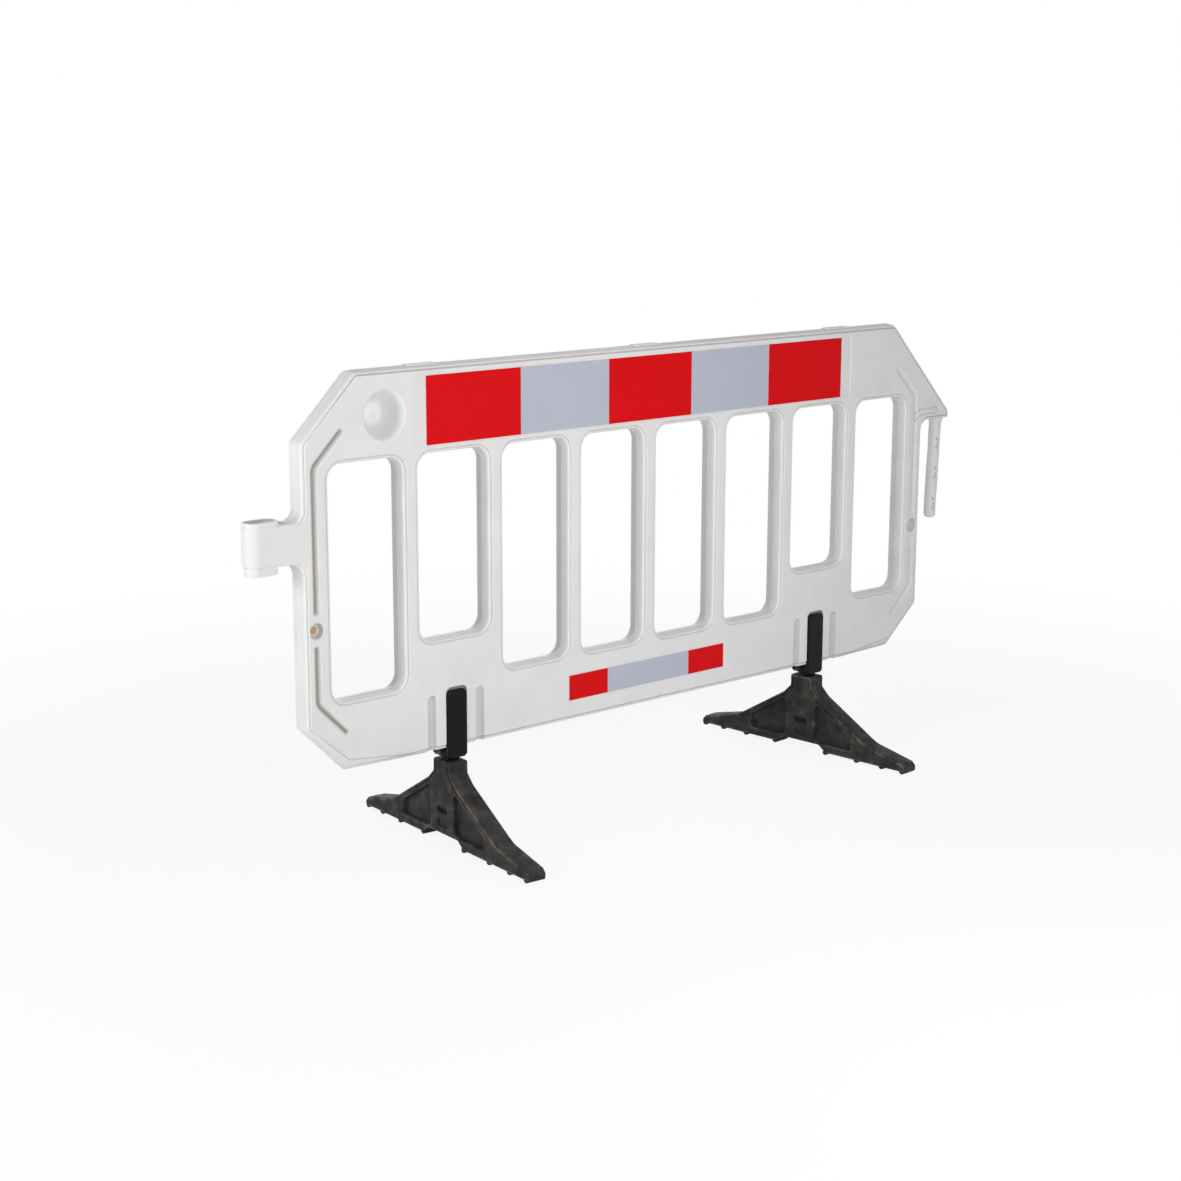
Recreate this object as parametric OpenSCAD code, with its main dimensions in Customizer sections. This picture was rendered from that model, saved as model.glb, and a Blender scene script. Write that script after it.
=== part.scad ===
// Pedestrian barrier panel: a hollow moulded board with a row of windows, reflective strips on both
// faces, a coupling socket on one end, a hanging coupling pin on the other, and two swivelling feet.
// X runs along the panel, the front face looks towards -Y, Z is up and the feet stand on Z = 0.

/* [Panel] */
// Thickness of the panel from face to face
panel_t = 46; // [42:1:56]
// Wall of the hollow moulding
panel_wall = 4.5; // [3:0.5:6]
// Height of the panel's bottom edge above the floor
panel_z = 206; // [200:1:240]
// Height of the solid band below the windows
bottom_band = 137; // [125:1:180]
// Width of each end stile beside the outer windows
stile_w = 57.4; // [50:0.2:80]
// Upper corner cut, along each edge
up_cut = 127; // [100:1:150]
// Lower corner cut, along each edge
low_cut = 97; // [70:1:110]
// Bevel round the panel's edges
edge_cut = 7; // [4:0.5:9]
// Height of the wide facet at the lower corners
facet_h = 25; // [14:1:30]
// Slope of the wide facet, in degrees from the face
facet_tilt = 24; // [15:1:30]

/* [Windows] */
// Width of a window at its rim
window_w = 184; // [150:1:220]
// Height of a window at its rim
window_h = 478; // [400:1:560]
// Rise of the bottom of the two windows above the feet
short_rise = 88; // [60:1:140]
// Width of a rib between two rims
rib_w = 27.6; // [22:0.2:40]
// Corner radius of a window's opening
window_r = 30; // [15:1:45]
// Bevel of a window's rim
rim_cut = 6; // [3:0.5:8]

/* [Reflective strips] */
// Length of one block of the upper strip
film_l = 238; // [200:1:242]
// Height of the upper strip
film_h = 136.5; // [110:0.5:160]
// Distance from the top edge down to the upper strip
film_drop = 21.5; // [16:0.5:35]
// Distance from the upper strip down to the window rims
film_gap = 10; // [8:0.5:20]
// Length of a red block of the lower strip
low_red_l = 108.5; // [80:0.5:130]
// Length of the silver block of the lower strip
low_silver_l = 239; // [180:1:300]
// Height of the lower strip
low_film_h = 54; // [40:1:65]
// Height of the lower strip above the bottom edge
low_film_z = 45; // [35:1:60]
// Thickness of a film
film_t = 0.6; // [0.4:0.1:0.8]
// Depth of the strip recess
strip_depth = 1; // [0.9:0.1:1.5]
// Margin of the upper recess at each end
strip_end = 33; // [10:1:45]
// Margin of the upper recess above and below, and all round the lower one
strip_edge = 3; // [2:0.5:5]
// Joint between two film blocks
film_butt = 0.3; // [0.2:0.1:1]

/* [Face details] */
// Rim radius of the round dish where the two walls meet
dish_r = 51; // [40:1:56]
// Floor radius of the dish
dish_floor_r = 18; // [12:1:24]
// Gap between the strip recess and the dish
dish_gap = 16; // [10:1:24]
// Width of a stiffening groove
groove_w = 10; // [6:1:14]
// Depth of the grooves
groove_d = 2.5; // [1.5:0.5:3]
// Distance of the slanted groove run from the corner cut
groove_off = 55; // [45:1:65]
// Reach of the slanted groove run along the panel
groove_slant = 64; // [40:1:70]
// Height of the round boss recess above the bottom edge
boss_z = 293; // [260:1:330]
// Rim radius of the boss recess
boss_r = 17; // [14:1:19]
// Depth of the boss recess
boss_d = 14; // [10:1:16]
// Clear distance between the boss centre and a groove end
boss_gap = 36; // [28:1:45]
// Radius of the blow hole plug
plug_r = 8; // [6:0.5:9]
// Thickness of the plug
plug_t = 6; // [4.5:0.5:8]
// Radial clearance of the plug
plug_gap = 0.05; // [0.02:0.01:0.1]
// Length of a flat pad on the top edge
pad_l = 70; // [40:1:90]
// Width of a pad across the top edge
pad_w = 20; // [12:1:26]
// Rise of a pad
pad_h = 1.5; // [1:0.5:3]

/* [Couplings] */
// Reach of the socket's axis from the panel's end edge
socket_reach = 93.5; // [70:0.5:120]
// Outer radius of the socket tube
socket_r = 21.5; // [19:0.5:23]
// Radius of the socket's bore
socket_bore_r = 16; // [15:0.25:17]
// Height of the socket
socket_h = 84; // [60:1:110]
// Height of the socket's bottom above the panel's bottom edge
socket_z = 426; // [380:1:460]
// Height of the collar below the socket
collar_h = 10.5; // [6:0.5:16]
// Set-in of the collar
collar_in = 3; // [1:0.5:3.5]
// Length of the collar's tail towards the panel
collar_tail = 46; // [20:1:60]
// Reach of the hook nose from the panel's end edge
nose_reach = 100; // [94:1:120]
// Height of the nose at its tip
nose_tip = 14; // [10:1:24]
// Distance of the hanging pin's root from the panel's end edge
pin_reach = 74; // [60:1:78]
// Radius of the hanging pin
pin_r = 14.5; // [12:0.25:14.75]
// Length of the hanging pin
pin_l = 244; // [180:1:260]
// Lean of the pin towards the panel, in degrees
pin_lean = 2.5; // [0:0.5:4]
// Rounding of the pin's tip
pin_nose = 5; // [2:0.5:8]
// Length of the flared root under the nose
root_l = 6; // [4:0.5:10]
// Radius of the flared root at its upper end
root_r = 18; // [16:0.5:20]

/* [Clips] */
// Width of a clip
clip_w = 50; // [40:1:60]
// Thickness of a clip's leg
clip_leg_t = 9; // [7:0.5:12]
// How far a leg stands proud of the panel's face
clip_proud = 4; // [2:0.5:6]
// Height of a leg above the panel's bottom edge
clip_leg_h = 127; // [90:1:150]
// Corner radius of a leg's top
clip_r = 12; // [6:1:18]
// Height of the base below the panel
clip_base_h = 21; // [16:1:28]
// Corner cut under the base
clip_cut = 6; // [3:1:9]
// Side clearance of a leg in its recess
clip_gap = 0.4; // [0.2:0.1:1]
// Distance of the two side grooves from the clip's middle
side_off = 61; // [48:1:70]
// Width of a side groove
side_w = 24; // [14:1:28]
// Height of a side groove
side_h = 120; // [80:1:140]

/* [Feet] */
// Width of a foot
foot_w = 46; // [42:1:60]
// Half length of a foot, from the swivel to a toe tip
foot_half = 305; // [260:1:350]
// Gap between the neck and the clip's base, bridged by the swivel collar
neck_gap = 7; // [4:0.5:12]
// Half length of the neck
neck_half = 31; // [26:1:36]
// Height of the neck above the shoulders
neck_h = 27; // [15:1:40]
// Length of the slanted shoulder beside the neck
shoulder_l = 21; // [14:1:26]
// Drop of the slanted shoulder
shoulder_h = 20; // [12:1:26]
// Height of a toe at its tip
toe_tip = 24; // [18:1:30]
// Corner cut at a toe's tip
toe_cut = 9; // [5:1:12]
// Length of the easing between a flank and its toe
ease_l = 20; // [10:1:26]
// Rise of the easing between a flank and its toe
ease_h = 11; // [6:1:16]
// Height of a toe where the flank starts
toe_root = 46; // [36:1:56]
// Length of a toe
toe_l = 108; // [80:1:130]
// Height of the sole above the floor
sole_z = 5; // [3:0.5:8]
// Height of the arch under the swivel
arch_z = 20; // [14:1:26]
// Half length of the arch
arch_half = 56; // [45:1:64]
// Length of the slope at each end of the arch
arch_run = 20; // [14:1:26]
// Depth of the side pockets
pocket_d = 11; // [6:1:14]
// Rim left round a side pocket
pocket_rim = 13; // [9:1:18]
// Height of a pocket's floor above the floor
pocket_z = 24; // [21:1:30]
// Reach of a pocket from the swivel
pocket_reach = 152; // [120:1:170]
// Distance between a pocket and the column's edge
pocket_side = 11; // [8:1:14]
// Length of the corner cut at a pocket's inner lower corner
pocket_cut = 17; // [10:1:20]
// Corner cut of a pocket's outer corners
pocket_nick = 4; // [2:0.5:5]
// Length of a sole bar
bar_l = 14; // [8:1:20]
// Set-in of a sole bar from the foot's sides
bar_in = 2; // [1:0.5:4]
// Distance of the middle bar from the flank's end, towards the swivel
bar_mid = 30; // [20:1:40]
// Distance of the outer bar from the flank's end, towards the toe
bar_out = 42; // [30:1:60]
// Turn of each foot out of square, toes apart at the front
foot_splay = 4.5; // [0:0.5:10]
// Half length of the two slots in the column
slot_half = 19; // [12:1:24]
// Height of a slot
slot_h = 15; // [8:1:18]
// Depth of a slot
slot_d = 8; // [5:0.5:9]
// Distance of the upper slot below the washer's pocket
slot_drop = 7; // [4:1:9]
// Bar left between the two slots
slot_bar = 12; // [6:1:14]

/* [Swivel] */
// Radius of the swivel spigot
spigot_r = 13; // [11:0.5:15]
// Radial running clearance of the spigot
spigot_gap = 0.05; // [0.02:0.01:0.1]
// Depth of the spigot in the neck
spigot_l = 76; // [50:1:90]
// Radius of the collar between clip and neck
swivel_r = 19; // [16:0.5:21]
// Thickness of the ledge under the spigot
ledge_t = 12; // [8:1:16]
// Radius of the swivel bolt
bolt_r = 5; // [4:0.5:6]
// Radial clearance of the bolt in the ledge
bolt_gap = 0.5; // [0.3:0.1:1]
// Depth of the bolt in the spigot
bolt_in = 40; // [25:1:46]
// Radius of the washer
washer_r = 12; // [10:0.5:14]
// Thickness of the washer
washer_t = 2.5; // [1.5:0.5:4]
// Width of the bolt's head across flats
head_af = 16; // [13:0.5:18]
// Height of the bolt's head
head_h = 7; // [5:0.5:9]
// Radius of the pocket round the washer
well_r = 16; // [15:0.5:18]
// Axial play of the washer and of the spigot's end
play = 0.3; // [0.2:0.1:0.6]

/* [Hidden] */
$fn = 96;
eps = 1;
window_n = 8;
film_n = 5;
foot_window = 1;
panel_w = window_n*window_w + (window_n - 1)*rib_w + 2*stile_w;
top_band = film_drop + film_h + film_gap;
panel_h = bottom_band + window_h + top_band;
hw = panel_w/2;
ht = panel_t/2;
z0 = panel_z;
z1 = panel_z + panel_h;
pitch = window_w + rib_w;
function window_x(i) = -hw + stile_w + window_w/2 + i*pitch;
function is_short(i) = i == foot_window || i == window_n - 1 - foot_window;
function window_lift(i) = is_short(i) ? short_rise : 0;
foot_x = -window_x(foot_window);
open_r = window_r;
edge_wall = edge_cut + 2;
edge_step = 0.5;
rim_wall = rim_cut + 1;

// Couplings
socket_x = -hw - socket_reach;
sock0 = z0 + socket_z;
sock1 = sock0 + socket_h;
nose_x = hw + nose_reach;
nose_z = z1 - up_cut - nose_reach - nose_tip;
pin_x = hw + pin_reach;

// The frame's origin lies under the middle of the whole length
origin_x = -(socket_x - socket_r + nose_x)/2;

// Strips
strip_half = film_n*film_l/2;
film_z0 = z1 - film_drop - film_h;
low_half = low_silver_l/2 + low_red_l;
low_z0 = z0 + low_film_z;
dish_x = -strip_half - strip_end - dish_gap - dish_r;
dish_z = film_z0 + film_h/2;
dish_d = panel_t - panel_wall;

// Stile grooves
stile_mid = stile_w/2;
groove_x = hw - stile_mid;
boss_h = z0 + boss_z;
up_bend = z1 - up_cut + stile_mid - groove_off*sqrt(2);
low_bend = z0 + low_cut - stile_mid + groove_off*sqrt(2);

// Clips and feet
clip_depth = clip_leg_t - clip_proud;
clip_half_y = ht + clip_proud;
base_z = z0 - clip_base_h;
neck_z = base_z - neck_gap;
shoulder_z = neck_z - neck_h;
flank_x = foot_half - toe_l;
ledge_z = neck_z - spigot_l - play;
well_z = ledge_z - ledge_t;
bar_s = [arch_half + arch_run, flank_x - bar_mid, flank_x + bar_out];
slot_zs = [well_z - slot_drop - slot_h, well_z - slot_drop - 2*slot_h - slot_bar];
foot_turns = [-foot_splay, foot_splay];

red = [0.80, 0.05, 0.06];
silver = [0.67, 0.70, 0.75];
white = [0.90, 0.90, 0.89];
tan_plug = [0.77, 0.64, 0.42];
black = [0.09, 0.10, 0.11];
dark_grey = [0.22, 0.22, 0.20];
steel = [0.62, 0.63, 0.65];

// Outline of the panel set in by d, without the nose
function octagon(d) = let (a = up_cut - d*(2 - sqrt(2)), b = low_cut - d*(2 - sqrt(2)), w = hw - d)
    [[-w + b, z0 + d], [w - b, z0 + d], [w, z0 + d + b], [w, z1 - d - a],
     [w - a, z1 - d], [-w + a, z1 - d], [-w, z1 - d - a], [-w, z0 + d + b]];

// Full outline with the hook nose on the right
outline = [[-hw + low_cut, z0], [hw - low_cut, z0], [hw, z0 + low_cut], [hw, nose_z],
    [nose_x, nose_z], [nose_x, nose_z + nose_tip], [hw - up_cut, z1], [-hw + up_cut, z1],
    [-hw, z1 - up_cut], [-hw, sock1], [-hw, sock0], [-hw, z0 + low_cut]];

// Bevelled edges: start, end, how many bevels the cut runs on past each end, and 1 where the bevel is
// the narrower one; the inner corner under the nose keeps a short square stretch
edge_runs = [[0, 1, 2, 2, 0], [1, 2, 2, 2, 1], [2, 3, 2, -0.5, 0], [3, 4, -0.5, 2, 1], [4, 5, 2, 2, 0],
    [5, 6, 2, 2, 1], [6, 7, 2, 2, 0], [7, 8, 2, 2, 1], [8, 9, 2, 0, 0], [10, 11, 0, 2, 0],
    [11, 0, 2, 2, 1]];

// An upright plate of thickness t round the middle plane, from a flat shape in X and Z
module upright(t) {
    rotate([90, 0, 0]) linear_extrude(t, center = true) children();
}

// Puts a cutter, drawn with Z outwards, on the front or the back face
module on_face(side) {
    mirror([0, side > 0 ? 1 : 0, 0]) translate([0, -ht, 0]) rotate([90, 0, 0]) children();
}

module rounded_square(w, h, r) {
    square([w - 2*r, h], center = true);
    square([w, h - 2*r], center = true);
    for (x = [-1, 1], y = [-1, 1]) translate([x*(w/2 - r), y*(h/2 - r)]) circle(r);
}

module edge_bevels() {
    for (e = edge_runs, side = [-1, 1]) {
        p = outline[e[0]];
        q = outline[e[1]];
        d = q - p;
        cut = (edge_cut - e[4]*edge_step)/sqrt(2);
        over = cut + 2;
        run = norm(d) + edge_cut*(e[2] + e[3]);
        translate([p[0], side*ht, p[1]]) rotate([0, -atan2(d[1], d[0]), 0])
            translate([-edge_cut*e[2], 0, 0]) rotate([-45*side, 0, 0])
            translate([0, side < 0 ? -over : -cut, -over]) cube([run, cut + over, 2*over]);
    }
}

// Wide slanted facets from beside each foot out to the lower corners
module corner_facets() {
    start = foot_x + side_off + side_w/2 + edge_cut;
    first = edge_cut/2;
    rise = atan((facet_h - first)/(hw - low_cut - start));
    for (mx = [0, 1], my = [0, 1]) mirror([mx, 0, 0]) mirror([0, my, 0])
        translate([start, -ht, z0 + first]) rotate([0, -rise, 0]) rotate([facet_tilt, 0, 0])
        translate([0, -panel_t, -panel_t]) cube([hw - start, panel_t, panel_t]);
}

// Through opening and bevelled rim of one window
module window_cut(i) {
    w = window_w - 2*rim_cut;
    h = window_h - window_lift(i) - 2*rim_cut;
    r = open_r;
    k = rim_cut + eps;
    translate([window_x(i), 0, z0 + bottom_band + window_lift(i) + rim_cut + h/2]) {
        upright(panel_t + 2*eps) rounded_square(w, h, r);
        for (side = [-1, 1]) on_face(side) {
            for (x = [-1, 1], y = [-1, 1]) translate([x*(w/2 - r), y*(h/2 - r), -rim_cut])
                cylinder(h = k, r1 = r, r2 = r + k);
            rotate([90, 0, 90]) linear_extrude(w - 2*r, center = true)
                polygon([[-h/2, -rim_cut], [h/2, -rim_cut], [h/2 + k, eps], [-h/2 - k, eps]]);
            rotate([90, 0, 0]) linear_extrude(h - 2*r, center = true)
                polygon([[-w/2, -rim_cut], [w/2, -rim_cut], [w/2 + k, eps], [-w/2 - k, eps]]);
        }
    }
}

module window_wall(i) {
    w = window_w - 2*rim_cut + 2*rim_wall;
    h = window_h - window_lift(i) - 2*rim_cut + 2*rim_wall;
    translate([window_x(i), 0, z0 + bottom_band + window_lift(i) - (rim_wall - rim_cut) + h/2])
        upright(panel_t) rounded_square(w, h, open_r + rim_wall);
}

// One groove of the stile: an upright run and a slanted run, mitred at the bend, with cut ends
module stile_groove(z_end, z_bend, up) {
    w = groove_w/2;
    m = w*tan(22.5);
    a = (w - m)/sqrt(2);
    b = (w + m)/sqrt(2);
    x = groove_x;
    tip = [x - groove_slant, z_bend + up*groove_slant];
    translate([0, 0, -groove_d]) linear_extrude(groove_d + eps)
        polygon([[x - w, z_end - up*m], [x - m, z_end - up*w], [x + m, z_end - up*w], [x + w, z_end - up*m],
            [x + w, z_bend + up*m], tip + [a, up*b], tip + [-a, up*b], tip + [-b, up*a], tip + [-b, -up*a],
            [x - w, z_bend - up*m]]);
}

module side_groove(x) {
    top = z0 + side_h - side_w/2;
    translate([0, 0, -groove_d]) linear_extrude(groove_d + eps) {
        translate([x - side_w/2, z0 - eps]) square([side_w, top - z0 + eps]);
        translate([x, top]) circle(side_w/2);
    }
}

module leg_shape(w, h, r) {
    translate([-w/2, 0]) square([w, h - r]);
    translate([-w/2 + r, 0]) square([w - 2*r, h]);
    for (x = [-1, 1]) translate([x*(w/2 - r), h - r]) circle(r);
}

module face_details() {
    for (side = [-1, 1]) on_face(side) {
        translate([-strip_half - strip_end, film_z0 - strip_edge, -strip_depth])
            cube([2*(strip_half + strip_end), film_h + 2*strip_edge, strip_depth + eps]);
        translate([-low_half - strip_edge, low_z0 - strip_edge, -strip_depth])
            cube([2*(low_half + strip_edge), low_film_h + 2*strip_edge, strip_depth + eps]);
        for (m = [0, 1]) mirror([m, 0, 0]) {
            stile_groove(boss_h + boss_gap, up_bend, 1);
            stile_groove(boss_h - boss_gap, low_bend, -1);
            for (s = [-1, 1]) side_groove(foot_x + s*side_off);
            translate([foot_x, z0 - eps, -clip_depth]) linear_extrude(clip_depth + eps)
                leg_shape(clip_w + 2*clip_gap, clip_leg_h + clip_gap + eps, clip_r + clip_gap);
        }
    }
    on_face(-1) {
        translate([dish_x, dish_z, -dish_d]) cylinder(h = dish_d, r1 = dish_floor_r, r2 = dish_r);
        for (s = [-1, 1]) translate([s*groove_x, boss_h, -boss_d])
            cylinder(h = boss_d, r1 = plug_r + 1, r2 = boss_r);
        translate([-groove_x, boss_h, -boss_d - panel_wall - eps])
            cylinder(h = panel_wall + 2*eps, r = plug_r);
    }
}

// Flat pads on the top edge, above the ends and the middle of the upper strip
module top_pads() {
    for (x = [-strip_half, 0, strip_half]) translate([x - pad_l/2, -pad_w/2, z1 - eps])
        cube([pad_l, pad_w, pad_h + eps]);
}

// Hollow of the moulding, with a wall left round every window, dish and recess
module hollow() {
    slope = (dish_r - dish_floor_r)/dish_d;
    difference() {
        upright(panel_t - 2*panel_wall) polygon(octagon(edge_wall));
        for (i = [0:window_n - 1]) window_wall(i);
        on_face(-1) {
            translate([dish_x, dish_z, -panel_t])
                cylinder(h = panel_t, r1 = dish_r + panel_wall - slope*panel_t, r2 = dish_r + panel_wall);
            for (s = [-1, 1]) translate([s*groove_x, boss_h, -boss_d - panel_wall])
                cylinder(h = boss_d + panel_wall, r = boss_r + 2);
        }
        for (s = [-1, 1], side = [-1, 1]) on_face(side)
            translate([s*foot_x - clip_w/2 - panel_wall, z0, -clip_depth - panel_wall])
            cube([clip_w + 2*panel_wall, clip_leg_h + panel_wall, clip_depth + panel_wall]);
    }
    translate([-groove_x, -ht + boss_d + panel_wall, boss_h]) rotate([90, 0, 0])
        cylinder(h = eps, r = plug_r, center = true);
}

module panel_shell() {
    color(white) translate([origin_x, 0, 0]) {
        difference() {
            upright(panel_t) polygon(outline);
            edge_bevels();
            corner_facets();
            for (i = [0:window_n - 1]) window_cut(i);
            face_details();
            hollow();
        }
        top_pads();
    }
}

module socket_shape(r, tail) {
    circle(r);
    translate([0, -r]) square([tail, 2*r]);
}

module coupling_socket() {
    color(white) translate([origin_x + socket_x, 0, 0]) difference() {
        union() {
            translate([0, 0, sock0]) linear_extrude(socket_h) socket_shape(socket_r, socket_reach);
            translate([0, 0, sock0 - collar_h]) linear_extrude(collar_h)
                socket_shape(socket_r - collar_in, collar_tail);
        }
        translate([0, 0, sock0 - collar_h - eps]) cylinder(h = socket_h + collar_h + 2*eps, r = socket_bore_r);
    }
}

module coupling_pin() {
    color(white) translate([origin_x, 0, 0]) difference() {
        translate([pin_x, 0, nose_z]) rotate([0, 180 + pin_lean, 0]) union() {
            translate([0, 0, -eps]) cylinder(h = root_l + eps, r1 = root_r, r2 = pin_r);
            translate([0, 0, root_l]) cylinder(h = pin_l - root_l - pin_nose, r = pin_r);
            translate([0, 0, pin_l - pin_nose]) cylinder(h = pin_nose, r1 = pin_r, r2 = pin_r - pin_nose);
        }
        translate([hw, -ht, nose_z]) cube([nose_reach, panel_t, nose_tip]);
    }
}

module blow_plug() {
    color(tan_plug) translate([origin_x - groove_x, -ht + boss_d - eps, boss_h]) rotate([-90, 0, 0])
        cylinder(h = plug_t, r = plug_r - plug_gap);
}

// One film block, lying on the floor of its recess
module film(side, x, z, l, h, c) {
    y = ht - strip_depth;
    color(c) translate([origin_x + x + film_butt/2, side > 0 ? y : -y - film_t, z])
        cube([l - film_butt, film_t, h]);
}

module top_film(side, i) {
    film(side, -strip_half + i*film_l, film_z0, film_l, film_h, i % 2 == 0 ? red : silver);
}

module low_film(side, i) {
    x = [-low_half, -low_silver_l/2, low_silver_l/2];
    film(side, x[i], low_z0, i == 1 ? low_silver_l : low_red_l, low_film_h, i == 1 ? silver : red);
}

module film_front_1() { top_film(-1, 0); }
module film_front_2() { top_film(-1, 1); }
module film_front_3() { top_film(-1, 2); }
module film_front_4() { top_film(-1, 3); }
module film_front_5() { top_film(-1, 4); }
module film_front_low_1() { low_film(-1, 0); }
module film_front_low_2() { low_film(-1, 1); }
module film_front_low_3() { low_film(-1, 2); }
module film_back_1() { top_film(1, 0); }
module film_back_2() { top_film(1, 1); }
module film_back_3() { top_film(1, 2); }
module film_back_4() { top_film(1, 3); }
module film_back_5() { top_film(1, 4); }
module film_back_low_1() { low_film(1, 0); }
module film_back_low_2() { low_film(1, 1); }
module film_back_low_3() { low_film(1, 2); }

// U-shaped clip: two legs on the panel's faces, a base under it and the swivel spigot below
module clip(s) {
    color(black) translate([origin_x + s*foot_x, 0, 0]) difference() {
        union() {
            for (m = [0, 1]) mirror([0, m, 0]) translate([0, -clip_half_y + clip_leg_t, z0])
                rotate([90, 0, 0]) linear_extrude(clip_leg_t) leg_shape(clip_w, clip_leg_h, clip_r);
            upright(2*clip_half_y) polygon([[-clip_w/2, z0], [clip_w/2, z0],
                [clip_w/2, base_z + clip_cut], [clip_w/2 - clip_cut, base_z],
                [-clip_w/2 + clip_cut, base_z], [-clip_w/2, base_z + clip_cut]]);
            translate([0, 0, neck_z]) cylinder(h = neck_gap, r = swivel_r);
            translate([0, 0, neck_z - spigot_l]) cylinder(h = spigot_l, r = spigot_r);
        }
        translate([0, 0, neck_z - spigot_l - eps]) cylinder(h = bolt_in + 2*eps, r = bolt_r + spigot_gap);
    }
}

module clip_left() { clip(-1); }
module clip_right() { clip(1); }

module swivel_bolt(s) {
    top = neck_z - spigot_l + bolt_in;
    head = well_z - play - washer_t;
    color(steel) translate([origin_x + s*foot_x, 0, 0]) {
        translate([0, 0, head]) cylinder(h = top - head, r = bolt_r);
        translate([0, 0, head - head_h]) cylinder(h = head_h, r = head_af/sqrt(3), $fn = 6);
    }
}

module swivel_bolt_left() { swivel_bolt(-1); }
module swivel_bolt_right() { swivel_bolt(1); }

module swivel_washer(s) {
    color(steel) translate([origin_x + s*foot_x, 0, well_z - play - washer_t]) difference() {
        cylinder(h = washer_t, r = washer_r);
        translate([0, 0, -eps]) cylinder(h = washer_t + 2*eps, r = bolt_r + spigot_gap);
    }
}

module swivel_washer_left() { swivel_washer(-1); }
module swivel_washer_right() { swivel_washer(1); }

// Side view of a foot, along its length and up
function half_profile() = [[neck_half, neck_z], [neck_half, shoulder_z],
    [neck_half + shoulder_l, shoulder_z - shoulder_h], [flank_x - ease_l, toe_root + ease_h],
    [flank_x, toe_root], [foot_half - toe_cut, toe_tip], [foot_half, toe_tip - toe_cut],
    [foot_half, sole_z], [arch_half + arch_run, sole_z], [arch_half, arch_z]];
function reversed(v) = [for (i = [len(v) - 1:-1:0]) [-v[i][0], v[i][1]]];

// Side pocket between the column and the flank, whose upper edge runs along the flank
module pocket_shape() {
    top = [neck_half + shoulder_l, shoulder_z - shoulder_h];
    low = [flank_x - ease_l, toe_root + ease_h];
    slope = (top[1] - low[1])/(top[0] - low[0]);
    drop = pocket_rim*sqrt(1 + slope*slope);
    near = neck_half + pocket_side;
    function flank(x) = low[1] + slope*(x - low[0]) - drop;
    polygon([[near, pocket_z + pocket_nick], [near, flank(near)],
        [pocket_reach - pocket_nick, flank(pocket_reach - pocket_nick)],
        [pocket_reach, flank(pocket_reach) - pocket_nick], [pocket_reach, pocket_z + pocket_nick],
        [pocket_reach - pocket_nick, pocket_z], [near + pocket_cut, pocket_z]]);
}

// A foot: an upright plate with pockets, a drilled column and bars under the sole
module foot(s) {
    color(dark_grey) translate([origin_x + s*foot_x, 0, 0])
    rotate([0, 0, s < 0 ? foot_turns[0] : foot_turns[1]]) difference() {
        union() {
            rotate([90, 0, 90]) linear_extrude(foot_w, center = true)
                polygon(concat(half_profile(), reversed(half_profile())));
            for (b = bar_s, m = [-1, 1]) translate([-foot_w/2 + bar_in, m*b - bar_l/2, 0])
                cube([foot_w - 2*bar_in, bar_l, sole_z]);
        }
        for (m = [0, 1], n = [0, 1]) mirror([n, 0, 0]) mirror([0, m, 0])
            translate([foot_w/2 - pocket_d, 0, 0]) rotate([90, 0, 90])
            linear_extrude(pocket_d + eps) pocket_shape();
        for (n = [0, 1], z = slot_zs) mirror([n, 0, 0])
            translate([foot_w/2 - slot_d, -slot_half, z]) cube([slot_d + eps, 2*slot_half, slot_h]);
        translate([0, 0, ledge_z]) cylinder(h = spigot_l + play + eps, r = spigot_r + spigot_gap);
        translate([0, 0, well_z - eps]) cylinder(h = ledge_t + 2*eps, r = bolt_r + bolt_gap);
        translate([0, 0, -eps]) cylinder(h = well_z + eps, r = well_r);
    }
}

module foot_left() { foot(-1); }
module foot_right() { foot(1); }

panel_shell();
coupling_socket();
coupling_pin();
blow_plug();
film_front_1();
film_front_2();
film_front_3();
film_front_4();
film_front_5();
film_front_low_1();
film_front_low_2();
film_front_low_3();
film_back_1();
film_back_2();
film_back_3();
film_back_4();
film_back_5();
film_back_low_1();
film_back_low_2();
film_back_low_3();
clip_left();
clip_right();
swivel_bolt_left();
swivel_bolt_right();
swivel_washer_left();
swivel_washer_right();
foot_left();
foot_right();
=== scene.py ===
"""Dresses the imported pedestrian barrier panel: a blow-moulded board, strips, couplings, clips and feet."""
import logging
import math
from dataclasses import dataclass, field
from enum import Enum
from typing import Callable, Sequence

import bmesh
import bpy
import numpy as np
from mathutils import Matrix, Vector
from mathutils.geometry import delaunay_2d_cdt


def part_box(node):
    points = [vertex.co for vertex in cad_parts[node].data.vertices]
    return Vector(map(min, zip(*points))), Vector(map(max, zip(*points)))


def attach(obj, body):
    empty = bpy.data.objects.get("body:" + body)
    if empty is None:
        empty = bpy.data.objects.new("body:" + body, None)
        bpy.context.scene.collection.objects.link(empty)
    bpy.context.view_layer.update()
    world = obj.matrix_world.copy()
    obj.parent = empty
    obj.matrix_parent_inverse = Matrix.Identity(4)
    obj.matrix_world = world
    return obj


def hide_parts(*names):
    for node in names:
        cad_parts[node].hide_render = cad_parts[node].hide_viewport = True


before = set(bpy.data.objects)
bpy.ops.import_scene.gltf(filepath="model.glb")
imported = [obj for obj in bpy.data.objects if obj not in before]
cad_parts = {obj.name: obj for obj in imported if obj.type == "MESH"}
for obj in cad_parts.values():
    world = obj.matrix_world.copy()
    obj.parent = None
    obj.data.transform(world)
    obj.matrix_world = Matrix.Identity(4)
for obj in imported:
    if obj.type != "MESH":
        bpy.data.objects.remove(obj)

LOG = logging.getLogger("barrier_panel")
MM = 0.001
ARC_STEP = math.radians(9)
CDT_MERGE = 1e-4
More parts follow.
